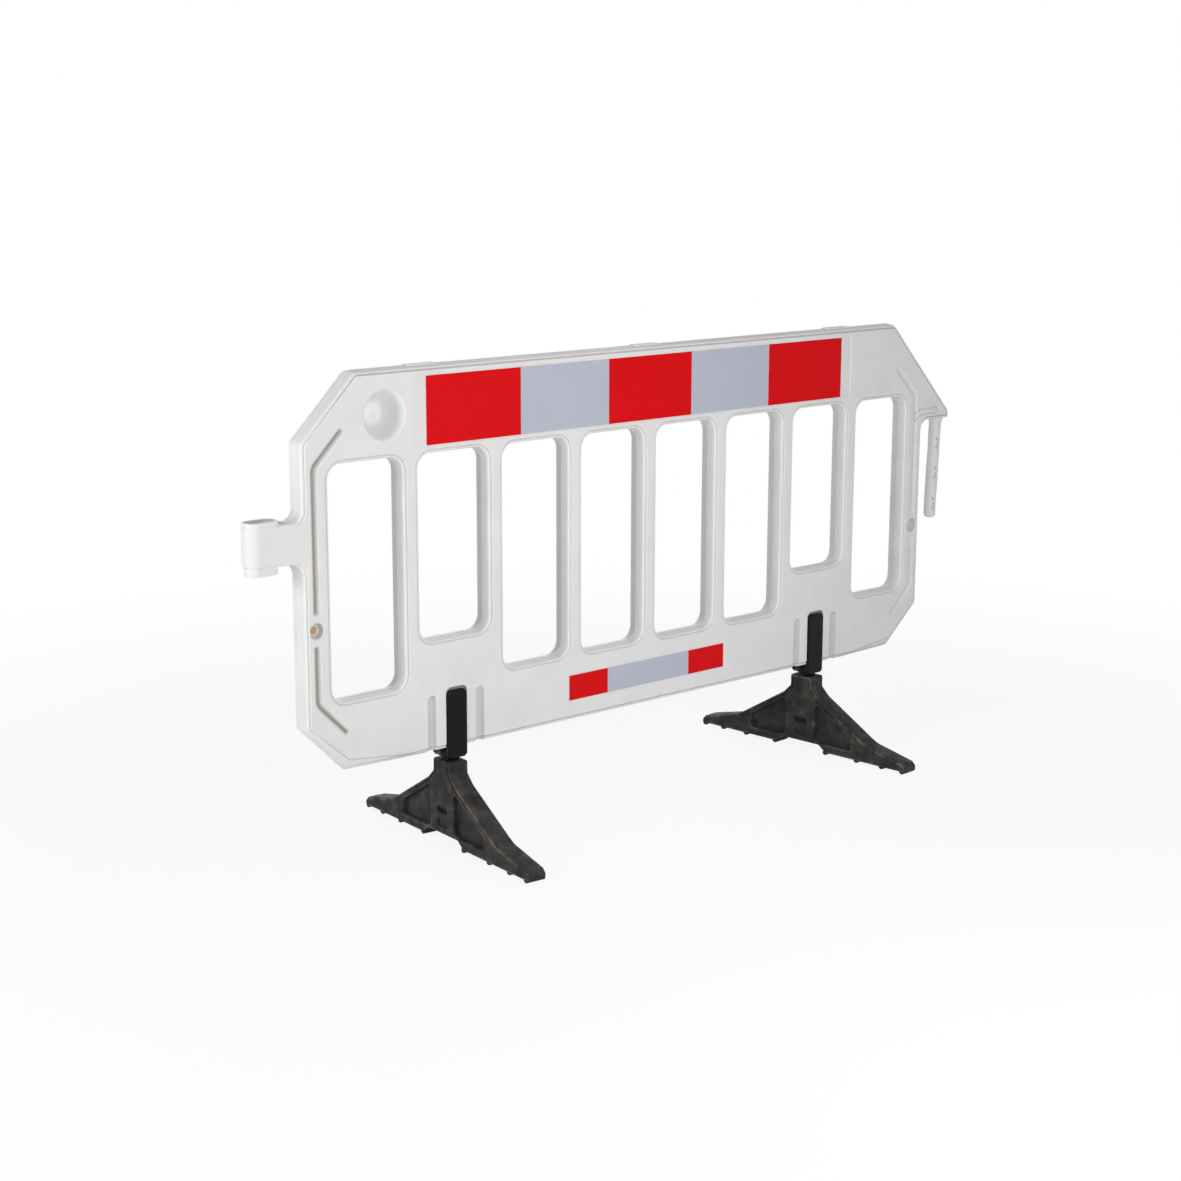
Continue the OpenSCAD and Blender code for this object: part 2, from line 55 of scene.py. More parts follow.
WELD = 0.002 * MM
END_STEPS = 19
CAP_STEPS = 12
MITRE_LIMIT = 0.3
WEAR_AND_HIGHLIGHT_SPREAD = 1.3
DARKENING_DEPTH = (0.15, 1.0)
DENT_SEED = 7
FOOT_TURN = 4.5


class Side(Enum):
    """The two faces of the panel, by the sign of Y."""

    FRONT = -1
    BACK = 1


class End(Enum):
    """The two ends of the panel, by the word in the names of their pieces."""

    LEFT = "left"
    RIGHT = "right"


class Film(Enum):
    """The two colours of reflective film."""

    RED = "red_film"
    SILVER = "silver_film"


def srgb(code: str) -> tuple[float, float, float, float]:
    """Turns an sRGB hex colour into linear RGBA.

    Args:
        code: six hex digits, with or without a leading hash.

    Returns:
        The linear red, green, blue and an alpha of 1.
    """
    digits = code.lstrip("#")
    parts = [int(digits[i:i + 2], 16) / 255 for i in (0, 2, 4)]
    linear = [c / 12.92 if c <= 0.04045 else ((c + 0.055) / 1.055) ** 2.4 for c in parts]
    return (*linear, 1.0)


def per_mm(size: float) -> float:
    """Gives the texture scale at which one cell is this many millimetres across."""
    return 1.0 / (size * MM)


def fill(tree: bpy.types.NodeTree, node: bpy.types.Node, inputs: dict) -> None:
    """Sets or links inputs of a node.

    Args:
        tree: the node's tree.
        node: the node.
        inputs: input name or index to a constant or to an output socket to link.
    """
    for key, value in inputs.items():
        socket = node.inputs[key]
        if isinstance(value, bpy.types.NodeSocket):
            tree.links.new(value, socket)
        else:
            socket.default_value = value


def add_node(tree: bpy.types.NodeTree, kind: str, inputs: dict | None = None, **settings) -> bpy.types.Node:
    """Adds a node, sets its properties and fills its inputs.

    Args:
        tree: the node tree that gets the node.
        kind: the node's type name.
        inputs: input name or index to a constant or to an output socket to link.
        settings: properties of the node itself.

    Returns:
        The new node.
    """
    node = tree.nodes.new(kind)
    for name, value in settings.items():
        setattr(node, name, value)
    fill(tree, node, inputs or {})
    return node


# Loops and distances, in millimetres on a face


def smooth(low: float, high: float, x: np.ndarray) -> np.ndarray:
    """Rises smoothly from 0 at low to 1 at high."""
    t = np.clip((x - low) / (high - low), 0, 1)
    return t * t * (3 - 2 * t)


def bump(x: np.ndarray, middle: float, half: float) -> np.ndarray:
    """A smooth hump of height 1 and the given half width."""
    t = np.clip(np.abs(x - middle) / half, 0, 1)
    return (1 - t * t) ** 2


def quarter_round(x: np.ndarray, width: float, depth: float) -> np.ndarray:
    """Depth of a rounded edge: full depth at x = 0, level with the face from x = width on."""
    t = np.clip((width - x) / width, 0, 1)
    return depth * (1 - np.sqrt(1 - t * t))


def round_rings(width: float) -> list[float]:
    """Distances from a rounded edge at which its curve gets a ring of points."""
    return [width * (1 - math.sin(math.radians(a))) for a in (75, 58, 42, 27, 13, 0)]


@dataclass(frozen=True)
class Hump:
    """A smooth hump in a section.

    Attributes:
        height: its height, or the share of the mark at its middle: painted shade in valleys, dusting and
            painted highlight on rims.
        middle: the distance from the outline at which it is highest.
        half: half its width.
    """

    height: float
    middle: float
    half: float

    def __call__(self, x: np.ndarray) -> np.ndarray:
        """Height of the hump at each distance."""
        return self.height * bump(x, self.middle, self.half)


@dataclass(frozen=True)
class Sink:
    """A smooth step down in a section.

    Attributes:
        depth: its depth, or the share of the mark in it; below 0 it is painted light on the board and painted
            shade on the feet.
        full: the distance from the outline up to which it is full.
        level: the distance from the outline from which on there is none of it.
    """

    depth: float
    full: float
    level: float

    def __call__(self, x: np.ndarray) -> np.ndarray:
        """Depth of the step at each distance."""
        return self.depth * (1 - smooth(self.full, self.level, x))


@dataclass(frozen=True)
class RoundEdge:
    """The rounded edge of a plate.

    Attributes:
        width: how far it reaches in over the face.
        depth: how far it goes down the wall.
    """

    width: float
    depth: float

    def __call__(self, points: np.ndarray, inset: np.ndarray) -> np.ndarray:
        """Depth of the edge at each distance in from the outline."""
        return quarter_round(inset, self.width, self.depth)

    def rings(self) -> list[float]:
        """Distances in from the outline at which the edge gets a ring of points."""
        return round_rings(self.width)


def square_edge(points: np.ndarray, inset: np.ndarray) -> np.ndarray:
    """Leaves the edge of a plate square."""
    return np.zeros(len(inset))


def rounded_polygon(corners: Sequence[tuple[float, float, float]], closed: bool = True) -> np.ndarray:
    """Rounds the corners of a polygon or the bends of an open line with arcs.

    Args:
        corners: x, z and radius of each corner, anticlockwise for a polygon.
        closed: whether the last corner joins the first.

    Returns:
        The points of the rounded loop or line.
    """
    points = []
    count = len(corners)
    for i, (x, z, radius) in enumerate(corners):
        p = np.array((x, z), float)
        if not closed and i in (0, count - 1):
            points.append(p)
            continue
        back = np.array(corners[i - 1][:2]) - p
        ahead = np.array(corners[(i + 1) % count][:2]) - p
        back /= np.linalg.norm(back)
        ahead /= np.linalg.norm(ahead)
        if radius <= 0:
            points.append(p)
            continue
        half = 0.5 * math.acos(np.clip(back @ ahead, -1, 1))
        middle = back + ahead
        centre = p + middle / np.linalg.norm(middle) * radius / math.sin(half)
        first = p + back * radius / math.tan(half) - centre
        last = p + ahead * radius / math.tan(half) - centre
        a0 = math.atan2(first[1], first[0])
        turn = (math.atan2(last[1], last[0]) - a0 + math.pi) % (2 * math.pi) - math.pi
        steps = max(3, math.ceil(abs(turn) / ARC_STEP))
        for k in range(steps + 1):
            a = a0 + turn * k / steps
            points.append(centre + radius * np.array((math.cos(a), math.sin(a))))
    return np.array(points)


def rounded_rectangle(x0: float, z0: float, x1: float, z1: float, radius: float) -> np.ndarray:
    """A rectangle between two corners, with rounded corners, anticlockwise."""
    return rounded_polygon([(x0, z0, radius), (x1, z0, radius), (x1, z1, radius), (x0, z1, radius)])


def circle(x: float, z: float, radius: float) -> np.ndarray:
    """A circle of points, anticlockwise."""
    a = np.arange(0, 2 * math.pi - 1e-6, ARC_STEP * 0.75)
    return np.stack((x + radius * np.cos(a), z + radius * np.sin(a)), axis=1)


def stadium(x0: float, x1: float, z: float, radius: float) -> np.ndarray:
    """Makes a long round-ended loop.

    Args:
        x0: its left end.
        x1: its right end.
        z: the level of its middle line.
        radius: half its width.

    Returns:
        The loop's points, anticlockwise.
    """
    turn = np.linspace(-math.pi / 2, math.pi / 2, END_STEPS)
    right = np.stack((x1 - radius + radius * np.cos(turn), z + radius * np.sin(turn)), axis=1)
    left = np.stack((x0 + radius - radius * np.cos(turn), z - radius * np.sin(turn)), axis=1)
    return np.vstack((right, left))


def bent_strip(path: Sequence[tuple[float, float, float]], half: float) -> np.ndarray:
    """Outlines a strip of even width along a bent line, with round ends.

    Args:
        path: x, z and bend radius of each point of the strip's middle line.
        half: half the strip's width.

    Returns:
        The outline's points, anticlockwise.
    """
    line = rounded_polygon(path, closed=False)
    ahead = np.diff(line, axis=0)
    ahead /= np.linalg.norm(ahead, axis=1)[:, None]
    before = np.vstack((ahead[:1], ahead))
    after = np.vstack((ahead, ahead[-1:]))
    normal = np.stack((before[:, 1] + after[:, 1], -before[:, 0] - after[:, 0]), axis=1)
    normal /= (1 + np.sum(before * after, axis=1))[:, None]
    caps = []
    for centre, way in ((line[-1], ahead[-1]), (line[0], -ahead[0])):
        right = np.array((way[1], -way[0]))
        turns = np.linspace(0, math.pi, CAP_STEPS)[1:-1, None]
        caps.append(centre + half * (np.cos(turns) * right + np.sin(turns) * way))
    return np.vstack((line + half * normal, caps[0], (line - half * normal)[::-1], caps[1]))


def offset_loop(loop: np.ndarray, distance: float) -> np.ndarray:
    """Moves a loop outwards or inwards.

    Args:
        loop: the loop's points, anticlockwise.
        distance: how far it moves outwards, or inwards where it is negative.

    Returns:
        The moved points.
    """
    ahead = np.roll(loop, -1, axis=0) - loop
    ahead /= np.linalg.norm(ahead, axis=1)[:, None]
    before = np.roll(ahead, 1, axis=0)
    normal = np.stack((ahead[:, 1] + before[:, 1], -ahead[:, 0] - before[:, 0]), axis=1)
    normal /= (1 + np.sum(ahead * before, axis=1))[:, None]
    return loop + distance * normal


def signed_distance(points: np.ndarray, loop: np.ndarray) -> np.ndarray:
    """Distance of points from a closed loop, negative inside it.

    Args:
        points: the points to measure.
        loop: the loop's points.

    Returns:
        One signed distance a point.
    """
    nearest = np.full(len(points), np.inf)
    inside = np.zeros(len(points), bool)
    for a, b in zip(loop, np.roll(loop, -1, axis=0)):
        d = b - a
        length = d @ d
        if length < 1e-12:
            continue
        rel = points - a
        t = np.clip(rel @ d / length, 0, 1)
        away = rel - t[:, None] * d
        nearest = np.minimum(nearest, np.einsum("ij,ij->i", away, away))
        if a[1] != b[1]:
            spans = (a[1] > points[:, 1]) != (b[1] > points[:, 1])
            inside ^= spans & (points[:, 0] < a[0] + (points[:, 1] - a[1]) / d[1] * d[0])
    return np.where(inside, -1, 1) * np.sqrt(nearest)


# Skins, and plates with pressed forms


@dataclass
class Skin:
    """A closed mesh in the making.

    Attributes:
        points: its points, in the frame, in millimetres.
        faces: its faces.
        grime_and_shading: how much soiling, wear and painted light and shade each point shows, from 0 to 1.
        parting: 1 for points on the mould's parting line, whose edges stay sharp, and 0 for others.
    """

    points: np.ndarray
    faces: list[tuple[int, ...]]
    grime_and_shading: np.ndarray | None = None
    parting: np.ndarray | None = None

    def __post_init__(self) -> None:
        """Fills in clean, smooth points where no values were given."""
        if self.grime_and_shading is None:
            self.grime_and_shading = np.zeros(len(self.points))
        if self.parting is None:
            self.parting = np.zeros(len(self.points))

    def plus(self, other: "Skin") -> "Skin":
        """Puts another skin beside this one in a single mesh.

        Args:
            other: the skin to add.

        Returns:
            Both skins as one.
        """
        shift = len(self.points)
        moved = [tuple(i + shift for i in f) for f in other.faces]
        grime_and_shading = np.concatenate((self.grime_and_shading, other.grime_and_shading))
        parting = np.concatenate((self.parting, other.parting))
        return Skin(np.vstack((self.points, other.points)), self.faces + moved, grime_and_shading, parting)

    def build(self, name: str) -> bpy.types.Object:
        """Makes the smooth-shaded object, with its normals outwards.

        Args:
            name: the object's name.

        Returns:
            The object, linked to the scene, with the point attribute "grime".
        """
        mesh = bpy.data.meshes.new(name)
        mesh.from_pydata((self.points * MM).tolist(), [], [tuple(int(i) for i in f) for f in self.faces])
        for label, values in (("grime_and_shading", self.grime_and_shading), ("parting", self.parting)):
            layer = mesh.attributes.new(label, "FLOAT", "POINT")
            layer.data.foreach_set("value", values.astype(np.float32))
        shape = bmesh.new()
        shape.from_mesh(mesh)
        bmesh.ops.remove_doubles(shape, verts=shape.verts, dist=WELD)
        bmesh.ops.dissolve_degenerate(shape, edges=shape.edges, dist=WELD)
        bmesh.ops.recalc_face_normals(shape, faces=shape.faces)
        line = shape.verts.layers.float["parting"]
        for edge in shape.edges:
            edge.smooth = not all(v[line] > 0.5 for v in edge.verts)
        for part in shape.faces:
            part.smooth = True
        shape.verts.layers.float.remove(line)
        shape.to_mesh(mesh)
        shape.free()
        thing = bpy.data.objects.new(name, mesh)
        bpy.context.scene.collection.objects.link(thing)
        return thing


@dataclass
class Press:
    """A form pressed into a face: a loop, its depth by distance from the loop, and its mesh rings.

    Attributes:
        loop: the form's outline on the face, anticlockwise.
        depth: depth below the face for signed distances from the outline, negative inside.
        rings: distances from the outline at which the mesh gets a ring of points.
        stain_and_shading: how much darker the form is painted where it is deep, from 0 to 1: soiling and
            painted shade in recesses.
        tint: the mark by signed distance, where it doesn't follow the depth; below 0 it is painted light on
            the board and painted shade on the feet.
    """

    loop: np.ndarray
    depth: Callable[[np.ndarray], np.ndarray]
    rings: Sequence[float]
    stain_and_shading: float = 0.0
    tint: Callable[[np.ndarray], np.ndarray] | None = None


@dataclass
class Plate:
    """A flat moulding between two faces, with a rounded outline, openings and pressed forms.

    Attributes:
        outline: the outline of the faces, anticlockwise.
        rim: depth below the face for distances in from the outline.
        rim_rings: distances in from the outline at which the mesh gets a ring.
        half: half the plate's thickness.
        openings: forms that go right through; their loops bound the faces.
        front: forms pressed into the front face.
        back: forms pressed into the back face.
        draft: how far the walls swell out between a face and the middle plane.
        edge_wear_and_highlight: how much wear and painted highlight the rounded edges show, from 0 to 1.
        wear_and_highlight_at: how far in from the outline the wear and painted highlight are strongest.
        top_dust_and_light: how much dusting and painted light from above show on walls that face up, from 0
            to 1.
        rim_shading: painted shade for distances in from the outline, as in a valley in shade.
    """

    outline: np.ndarray
    rim: Callable[[np.ndarray, np.ndarray], np.ndarray]
    rim_rings: Sequence[float]
    half: float
    openings: list[Press] = field(default_factory=list)
    front: list[Press] = field(default_factory=list)
    back: list[Press] = field(default_factory=list)
    draft: float = 1.0
    edge_wear_and_highlight: float = 0.0
    wear_and_highlight_at: float = 2.5
    top_dust_and_light: float = 0.0
    rim_shading: Callable[[np.ndarray, np.ndarray], np.ndarray] | None = None

    def face(self, presses: list[Press]) -> tuple[np.ndarray, np.ndarray, np.ndarray, np.ndarray]:
        """Meshes one face with a ring of points round each form.

        Args:
            presses: the forms pressed into this face.

        Returns:
            Points on the face, their depths, their soiling, wear and painted light and shade, and the
            triangles.
        """
        loops = [self.outline] + [offset_loop(self.outline, -r) for r in self.rim_rings]
        for press in self.openings + presses:
            loops += [press.loop] + [offset_loop(press.loop, r) for r in press.rings]
        coords = [Vector(p) for loop in loops for p in loop]
        edges = []
        start = 0
        for loop in loops:
            count = len(loop)
            edges += [(start + i, start + (i + 1) % count) for i in range(count)]
            start += count
        found = delaunay_2d_cdt(coords, edges, [], 0, CDT_MERGE)
        points = np.array([tuple(v) for v in found[0]])
        triangles = np.array([f for f in found[2] if len(f) == 3])
        middles = points[triangles].mean(axis=1)
        kept = signed_distance(middles, self.outline) < 0
        for hole in self.openings:
            kept &= signed_distance(middles, hole.loop) > 0
        triangles = triangles[kept]
        used, triangles = np.unique(triangles, return_inverse=True)
        points = points[used]
        triangles = triangles.reshape(-1, 3)
        inset = np.maximum(0, -signed_distance(points, self.outline))
        depth = self.rim(points, inset)
        # Rounded edges get wear and painted highlight where the plate asks for them.
        stain_and_shading = self.edge_wear_and_highlight * bump(inset, self.wear_and_highlight_at, WEAR_AND_HIGHLIGHT_SPREAD * self.wear_and_highlight_at)
        if self.rim_shading is not None:
            stain_and_shading = np.maximum(stain_and_shading, self.rim_shading(points, inset))
        for k, press in enumerate(self.openings + presses):
            away = signed_distance(points, press.loop)
            form = press.depth(np.maximum(0, away) if k < len(self.openings) else away)
            depth += form
            # Deep parts of a form are painted darker: soiling and painted shade in recesses.
            stain_and_shading = np.maximum(stain_and_shading, press.stain_and_shading * smooth(*DARKENING_DEPTH, form))
            if press.tint is not None:
                extra = press.tint(away)
                stain_and_shading = np.where(extra < 0, extra, np.maximum(stain_and_shading, extra))
        return points, depth, stain_and_shading, triangles

    def skin(self, place: Callable[[np.ndarray], np.ndarray]) -> Skin:
        """Joins both faces by walls.

        Args:
            place: maps rows of (along, across, up) in millimetres to the frame in millimetres.

        Returns:
            The closed skin.
        """
        front = self.face(self.front)
        back = self.face(self.back)
        rows = []
        for (points, depth, _, _), sign in ((front, -1), (back, 1)):
            across = sign * (self.half - depth)
            rows.append(np.stack((points[:, 0], across, points[:, 1]), axis=1))
        grime_and_shading = [front[2], back[2]]
        shift = len(front[0])
        faces = [tuple(t) for t in front[3]] + [tuple(t[::-1] + shift) for t in back[3]]
        sides = {}
        for t in front[3]:
            sides.update(dict.fromkeys(((t[0], t[1]), (t[1], t[2]), (t[2], t[0]))))
        border = [(a, b) for (a, b) in sides if (b, a) not in sides]
        back_at = {tuple(np.round(p, 2)): i + shift for i, p in enumerate(back[0])}
        after = dict(border)
        before = {b: a for a, b in border}
        total = shift + len(back[0])
        middle = {}
        swell = []
        dust_and_light = []
        for i in after:
            p = front[0][i]
            u = front[0][after[i]] - p
            v = p - front[0][before[i]]
            u = u / max(np.linalg.norm(u), 1e-9)
            v = v / max(np.linalg.norm(v), 1e-9)
            n = np.array((u[1] + v[1], -u[0] - v[0])) / max(MITRE_LIMIT, 1 + u @ v)
            q = p + self.draft * n
            middle[i] = total + len(swell)
            swell.append((q[0], 0.0, q[1]))
            # Walls that face up are painted paler: dusting and painted light from above.
            dust_and_light.append(self.top_dust_and_light * max(0.0, n[1]))
        rows.append(np.array(swell))
        grime_and_shading.append(np.array(dust_and_light))
        for a, b in border:
            far_a = back_at[tuple(np.round(front[0][a], 2))]
            far_b = back_at[tuple(np.round(front[0][b], 2))]
            faces.append((b, a, middle[a], middle[b]))
            faces.append((middle[b], middle[a], far_a, far_b))
        parting = np.concatenate((np.zeros(total), np.ones(len(swell))))
        return Skin(place(np.vstack(rows)), faces, np.concatenate(grime_and_shading), parting)


def straight(points: np.ndarray) -> np.ndarray:
    """Leaves plate coordinates as they are: along X, across Y, up Z."""
    return points


def lying(level: float) -> Callable[[np.ndarray], np.ndarray]:
    """Gives the place of a plate that lies flat with its middle on a level, front face up."""
    return lambda p: np.stack((p[:, 0], p[:, 2], level - p[:, 1]), axis=1)


def lathe(profile: Sequence[tuple[float, float]], x: float, y: float, segments: int = 48) -> Skin:
    """Turns a profile of radius and height about an upright axis, closed by flat ends.

    Args:
        profile: radius and height of each point, from the lower end to the upper end.
        x: the axis' place along X.
        y: the axis' place along Y.
        segments: how many steps a full turn has.

    Returns:
        The closed skin.
    """
    turn = np.arange(segments) * 2 * math.pi / segments
    rows = []
    for r, z in profile:
        rows.append(np.stack((x + r * np.cos(turn), y + r * np.sin(turn), np.full(segments, z)), axis=1))
    return tube(np.array(rows))


def tube(rows: np.ndarray, grime_and_shading: np.ndarray | None = None) -> Skin:
    """Joins rings of points of equal count into a closed skin with flat ends.

    Args:
        rows: the rings, as rows by points by coordinates.
        grime_and_shading: an optional darkening value for each point.

    Returns:
        The closed skin.
    """
    count = rows.shape[1]
    faces = []
    for row in range(len(rows) - 1):
        low = row * count
        high = low + count
        faces += [(low + k, low + (k + 1) % count, high + (k + 1) % count, high + k) for k in range(count)]
    last = (len(rows) - 1) * count
    faces.append(tuple(range(count))[::-1])
    faces.append(tuple(range(last, last + count)))
    return Skin(rows.reshape(-1, 3), faces, grime_and_shading)


def settle(thing: bpy.types.Object, modifier: bpy.types.Modifier, sharp: float) -> None:
    """Turns an object with a modifier into a plain mesh.

    Args:
        thing: the object, whose mesh is replaced.
        modifier: the modifier, which is removed.
        sharp: the angle in degrees above which an edge stays sharp.
    """
    ready = thing.evaluated_get(bpy.context.evaluated_depsgraph_get())
    mesh = bpy.data.meshes.new_from_object(ready)
    thing.modifiers.remove(modifier)
    thing.data = mesh
    mesh.name = thing.name
    mesh.set_sharp_from_angle(angle=math.radians(sharp))


@dataclass
class NodeRecipe:
    """A Geometry Nodes tree with named inputs that becomes a plain mesh.

    Attributes:
        name: the tree's name.
    """

    name: str

    def __post_init__(self) -> None:
        """Starts the tree with its geometry sockets and its finish."""
        self.tree = bpy.data.node_groups.new(self.name, "GeometryNodeTree")
        self.keys: dict[str, str] = {}
        self.tree.interface.new_socket("Geometry", in_out="INPUT", socket_type="NodeSocketGeometry")
        self.tree.interface.new_socket("Geometry", in_out="OUTPUT", socket_type="NodeSocketGeometry")
        self.entry = add_node(self.tree, "NodeGroupInput")
        self.finish = self.take("Finish", "NodeSocketMaterial")

    def take(self, label: str, kind: str) -> bpy.types.NodeSocket:
        """Adds a named input.

        Args:
            label: the input's name.
            kind: the type of its socket.

        Returns:
            The socket to link from.
        """
        socket = self.tree.interface.new_socket(label, in_out="INPUT", socket_type=kind)
        self.keys[label] = socket.identifier
        return self.entry.outputs[label]

    def close(self, shape: bpy.types.NodeSocket) -> None:
        """Ends the tree in realised instances and the finish.

        Args:
            shape: the geometry that comes out.
        """
        real = add_node(self.tree, "GeometryNodeRealizeInstances", {"Geometry": shape})
        soft = add_node(self.tree, "GeometryNodeSetShadeSmooth", {"Geometry": real.outputs["Geometry"]})
        worn = add_node(self.tree, "GeometryNodeSetMaterial", {"Geometry": soft.outputs["Geometry"],
                                                               "Material": self.finish})
        add_node(self.tree, "NodeGroupOutput", {"Geometry": worn.outputs["Geometry"]})

    def grow(self, name: str, points: np.ndarray, edges: list[tuple[int, int]], values: dict[str, object],
             sharp: float) -> bpy.types.Object:
        """Runs the tree on points or lines and keeps the result as a plain mesh.

        Args:
            name: the new object's name.
            points: the seed points, in millimetres.
            edges: the lines between them.
            values: the value of each named input.
            sharp: the angle in degrees above which an edge stays sharp.

        Returns:
            The new object.
        """
        seed = bpy.data.meshes.new(name + "_seed")
        seed.from_pydata((points * MM).tolist(), edges, [])
        thing = bpy.data.objects.new(name, seed)
        bpy.context.scene.collection.objects.link(thing)
        modifier = thing.modifiers.new(self.name, "NODES")
        modifier.node_group = self.tree
        for label, value in values.items():
            modifier[self.keys[label]] = value
        settle(thing, modifier, sharp)
        return thing


def box_mm(node: str) -> tuple[np.ndarray, np.ndarray]:
    """Lowest and highest corner of a CAD node, in millimetres."""
    low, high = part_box(node)
    return np.array(low) / MM, np.array(high) / MM


# Finishes


@dataclass(frozen=True)
class Finish:
    """What all finishes share: a name and a principled shader with object coordinates.

    Attributes:
        name: the material's name, from the real material and how its surface was made.
    """

    name: str

    def start(self) -> tuple[bpy.types.Material, bpy.types.NodeTree, bpy.types.Node, bpy.types.NodeSocket]:
        """Makes the bare material.

        Returns:
            The material, its tree, its principled shader and the object coordinates' socket.
        """
        material = bpy.data.materials.new(self.name)
        material.use_nodes = True
        tree = material.node_tree
        shader = tree.nodes["Principled BSDF"]
        place = add_node(tree, "ShaderNodeTexCoord").outputs["Object"]
        return material, tree, shader, place


@dataclass(frozen=True)
class MouldedPolyethylene(Finish):
    """White blow-moulded polyethylene: satin, faintly waxy, with a mould grain, scuffs and darker grooves,
    painted shade in valleys, creases and clip recesses, and painted light on the dish's floor.

    The grain is drawn coarser than a real one, so that it shows.
    """

    name: str = "moulded_polyethylene"
    colour: str = "#E6E6E6"
    shade: str = "#E0E0E1"
    painted_light: str = "#FCFCFC"
    grime_and_shading: str = "#989088"
    roughness: float = 0.46
    ior: float = 1.5
    mottle_mm: float = 85.0
    grain_mm: float = 1.6
    scuff_mm: float = 30.0

    def build(self) -> bpy.types.Material:
        """Makes the material.

        Returns:
            The material.
        """
        material, tree, shader, place = self.start()
        cloud = add_node(tree, "ShaderNodeTexNoise", {
            "Vector": place, "Scale": per_mm(self.mottle_mm), "Detail": 4.0, "Roughness": 0.55})
        tone = add_node(tree, "ShaderNodeValToRGB", {"Fac": cloud.outputs["Fac"]})
        for stop, at, code in zip(tone.color_ramp.elements, (0.3, 0.62), (self.shade, self.colour)):
            stop.position = at
            stop.color = srgb(code)
        long_way = add_node(tree, "ShaderNodeMapping", {"Vector": place, "Scale": (0.16, 1.0, 1.0)})
        scuff = add_node(tree, "ShaderNodeTexNoise", {
            "Vector": long_way.outputs["Vector"], "Scale": per_mm(self.scuff_mm), "Detail": 6.0,
            "Roughness": 0.7})
        scuffed = add_node(tree, "ShaderNodeMapRange", {
            "Value": scuff.outputs["Fac"], "From Min": 0.6, "From Max": 0.8, "To Min": 0.0, "To Max": 0.35})
        dirt_and_shading = add_node(tree, "ShaderNodeAttribute", attribute_name="grime_and_shading").outputs["Fac"]
        # Below 0 the mark is painted light: the dish's floor is painted near white, as if lit straight on.
        bright = add_node(tree, "ShaderNodeMapRange", {
            "Value": dirt_and_shading, "From Min": -1.0, "From Max": 0.0, "To Min": 1.0, "To Max": 0.0})
        colour = tone.outputs["Color"]
        for share, code in ((scuffed.outputs["Result"], self.shade), (dirt_and_shading, self.grime_and_shading),
                            (bright.outputs["Result"], self.painted_light)):
            colour = add_node(tree, "ShaderNodeMix", {"Factor": share, 6: colour, 7: srgb(code)},
                              data_type="RGBA").outputs[2]
        rough = add_node(tree, "ShaderNodeMapRange", {
            "Value": scuff.outputs["Fac"], "From Min": 0.35, "From Max": 0.75,
            "To Min": self.roughness - 0.06, "To Max": self.roughness + 0.1})
        grain = add_node(tree, "ShaderNodeTexNoise", {
            "Vector": place, "Scale": per_mm(self.grain_mm), "Detail": 2.0})
        bumped = add_node(tree, "ShaderNodeBump", {
            "Height": grain.outputs["Fac"], "Strength": 0.12, "Distance": 0.12 * MM})
        wave = add_node(tree, "ShaderNodeBump", {
            "Height": cloud.outputs["Fac"], "Strength": 0.15, "Distance": 1.0 * MM,
            "Normal": bumped.outputs["Normal"]})
        fill(tree, shader, {"Base Color": colour, "Roughness": rough.outputs["Result"],
                            "Normal": wave.outputs["Normal"], "IOR": self.ior})
        return material


@dataclass(frozen=True)
class PrismaticFilm(Finish):
    """Retroreflective sheeting: an even bright face over tiny prisms, in sealed cells that catch the light.

    The cells are drawn coarser than real ones, so that they show.
    """

    colour: str = "#DE1016"
    deep: str = "#D60D13"
    cell_mm: float = 5.0
    cloud_mm: float = 120.0
    roughness: float = 0.42
    gloss: float = 0.07

    def build(self) -> bpy.types.Material:
        """Makes the material.

        Returns:
            The material.
        """
        material, tree, shader, place = self.start()
        cells = add_node(tree, "ShaderNodeTexVoronoi", {
            "Vector": place, "Scale": per_mm(self.cell_mm), "Randomness": 0.25}, feature="DISTANCE_TO_EDGE")
        seal = add_node(tree, "ShaderNodeMapRange", {
            "Value": cells.outputs["Distance"], "From Min": 0.0, "From Max": 0.12, "To Min": 0.5,
            "To Max": 0.0})
        cloud = add_node(tree, "ShaderNodeTexNoise", {
            "Vector": place, "Scale": per_mm(self.cloud_mm), "Detail": 3.0})
        tone = add_node(tree, "ShaderNodeMix", {
            "Factor": cloud.outputs["Fac"], 6: srgb(self.colour), 7: srgb(self.deep)}, data_type="RGBA")
        sealed = add_node(tree, "ShaderNodeMix", {
            "Factor": seal.outputs["Result"], 6: tone.outputs[2], 7: srgb(self.deep)}, data_type="RGBA")
        rough = add_node(tree, "ShaderNodeMapRange", {
            "Value": cloud.outputs["Fac"], "From Min": 0.3, "From Max": 0.7,
            "To Min": self.roughness - 0.05, "To Max": self.roughness + 0.08})
        bumped = add_node(tree, "ShaderNodeBump", {
            "Height": cells.outputs["Distance"], "Strength": 0.05, "Distance": 0.05 * MM})
        fill(tree, shader, {"Base Color": sealed.outputs[2], "Roughness": rough.outputs["Result"],
                            "Normal": bumped.outputs["Normal"], "Specular IOR Level": self.gloss})
        return material


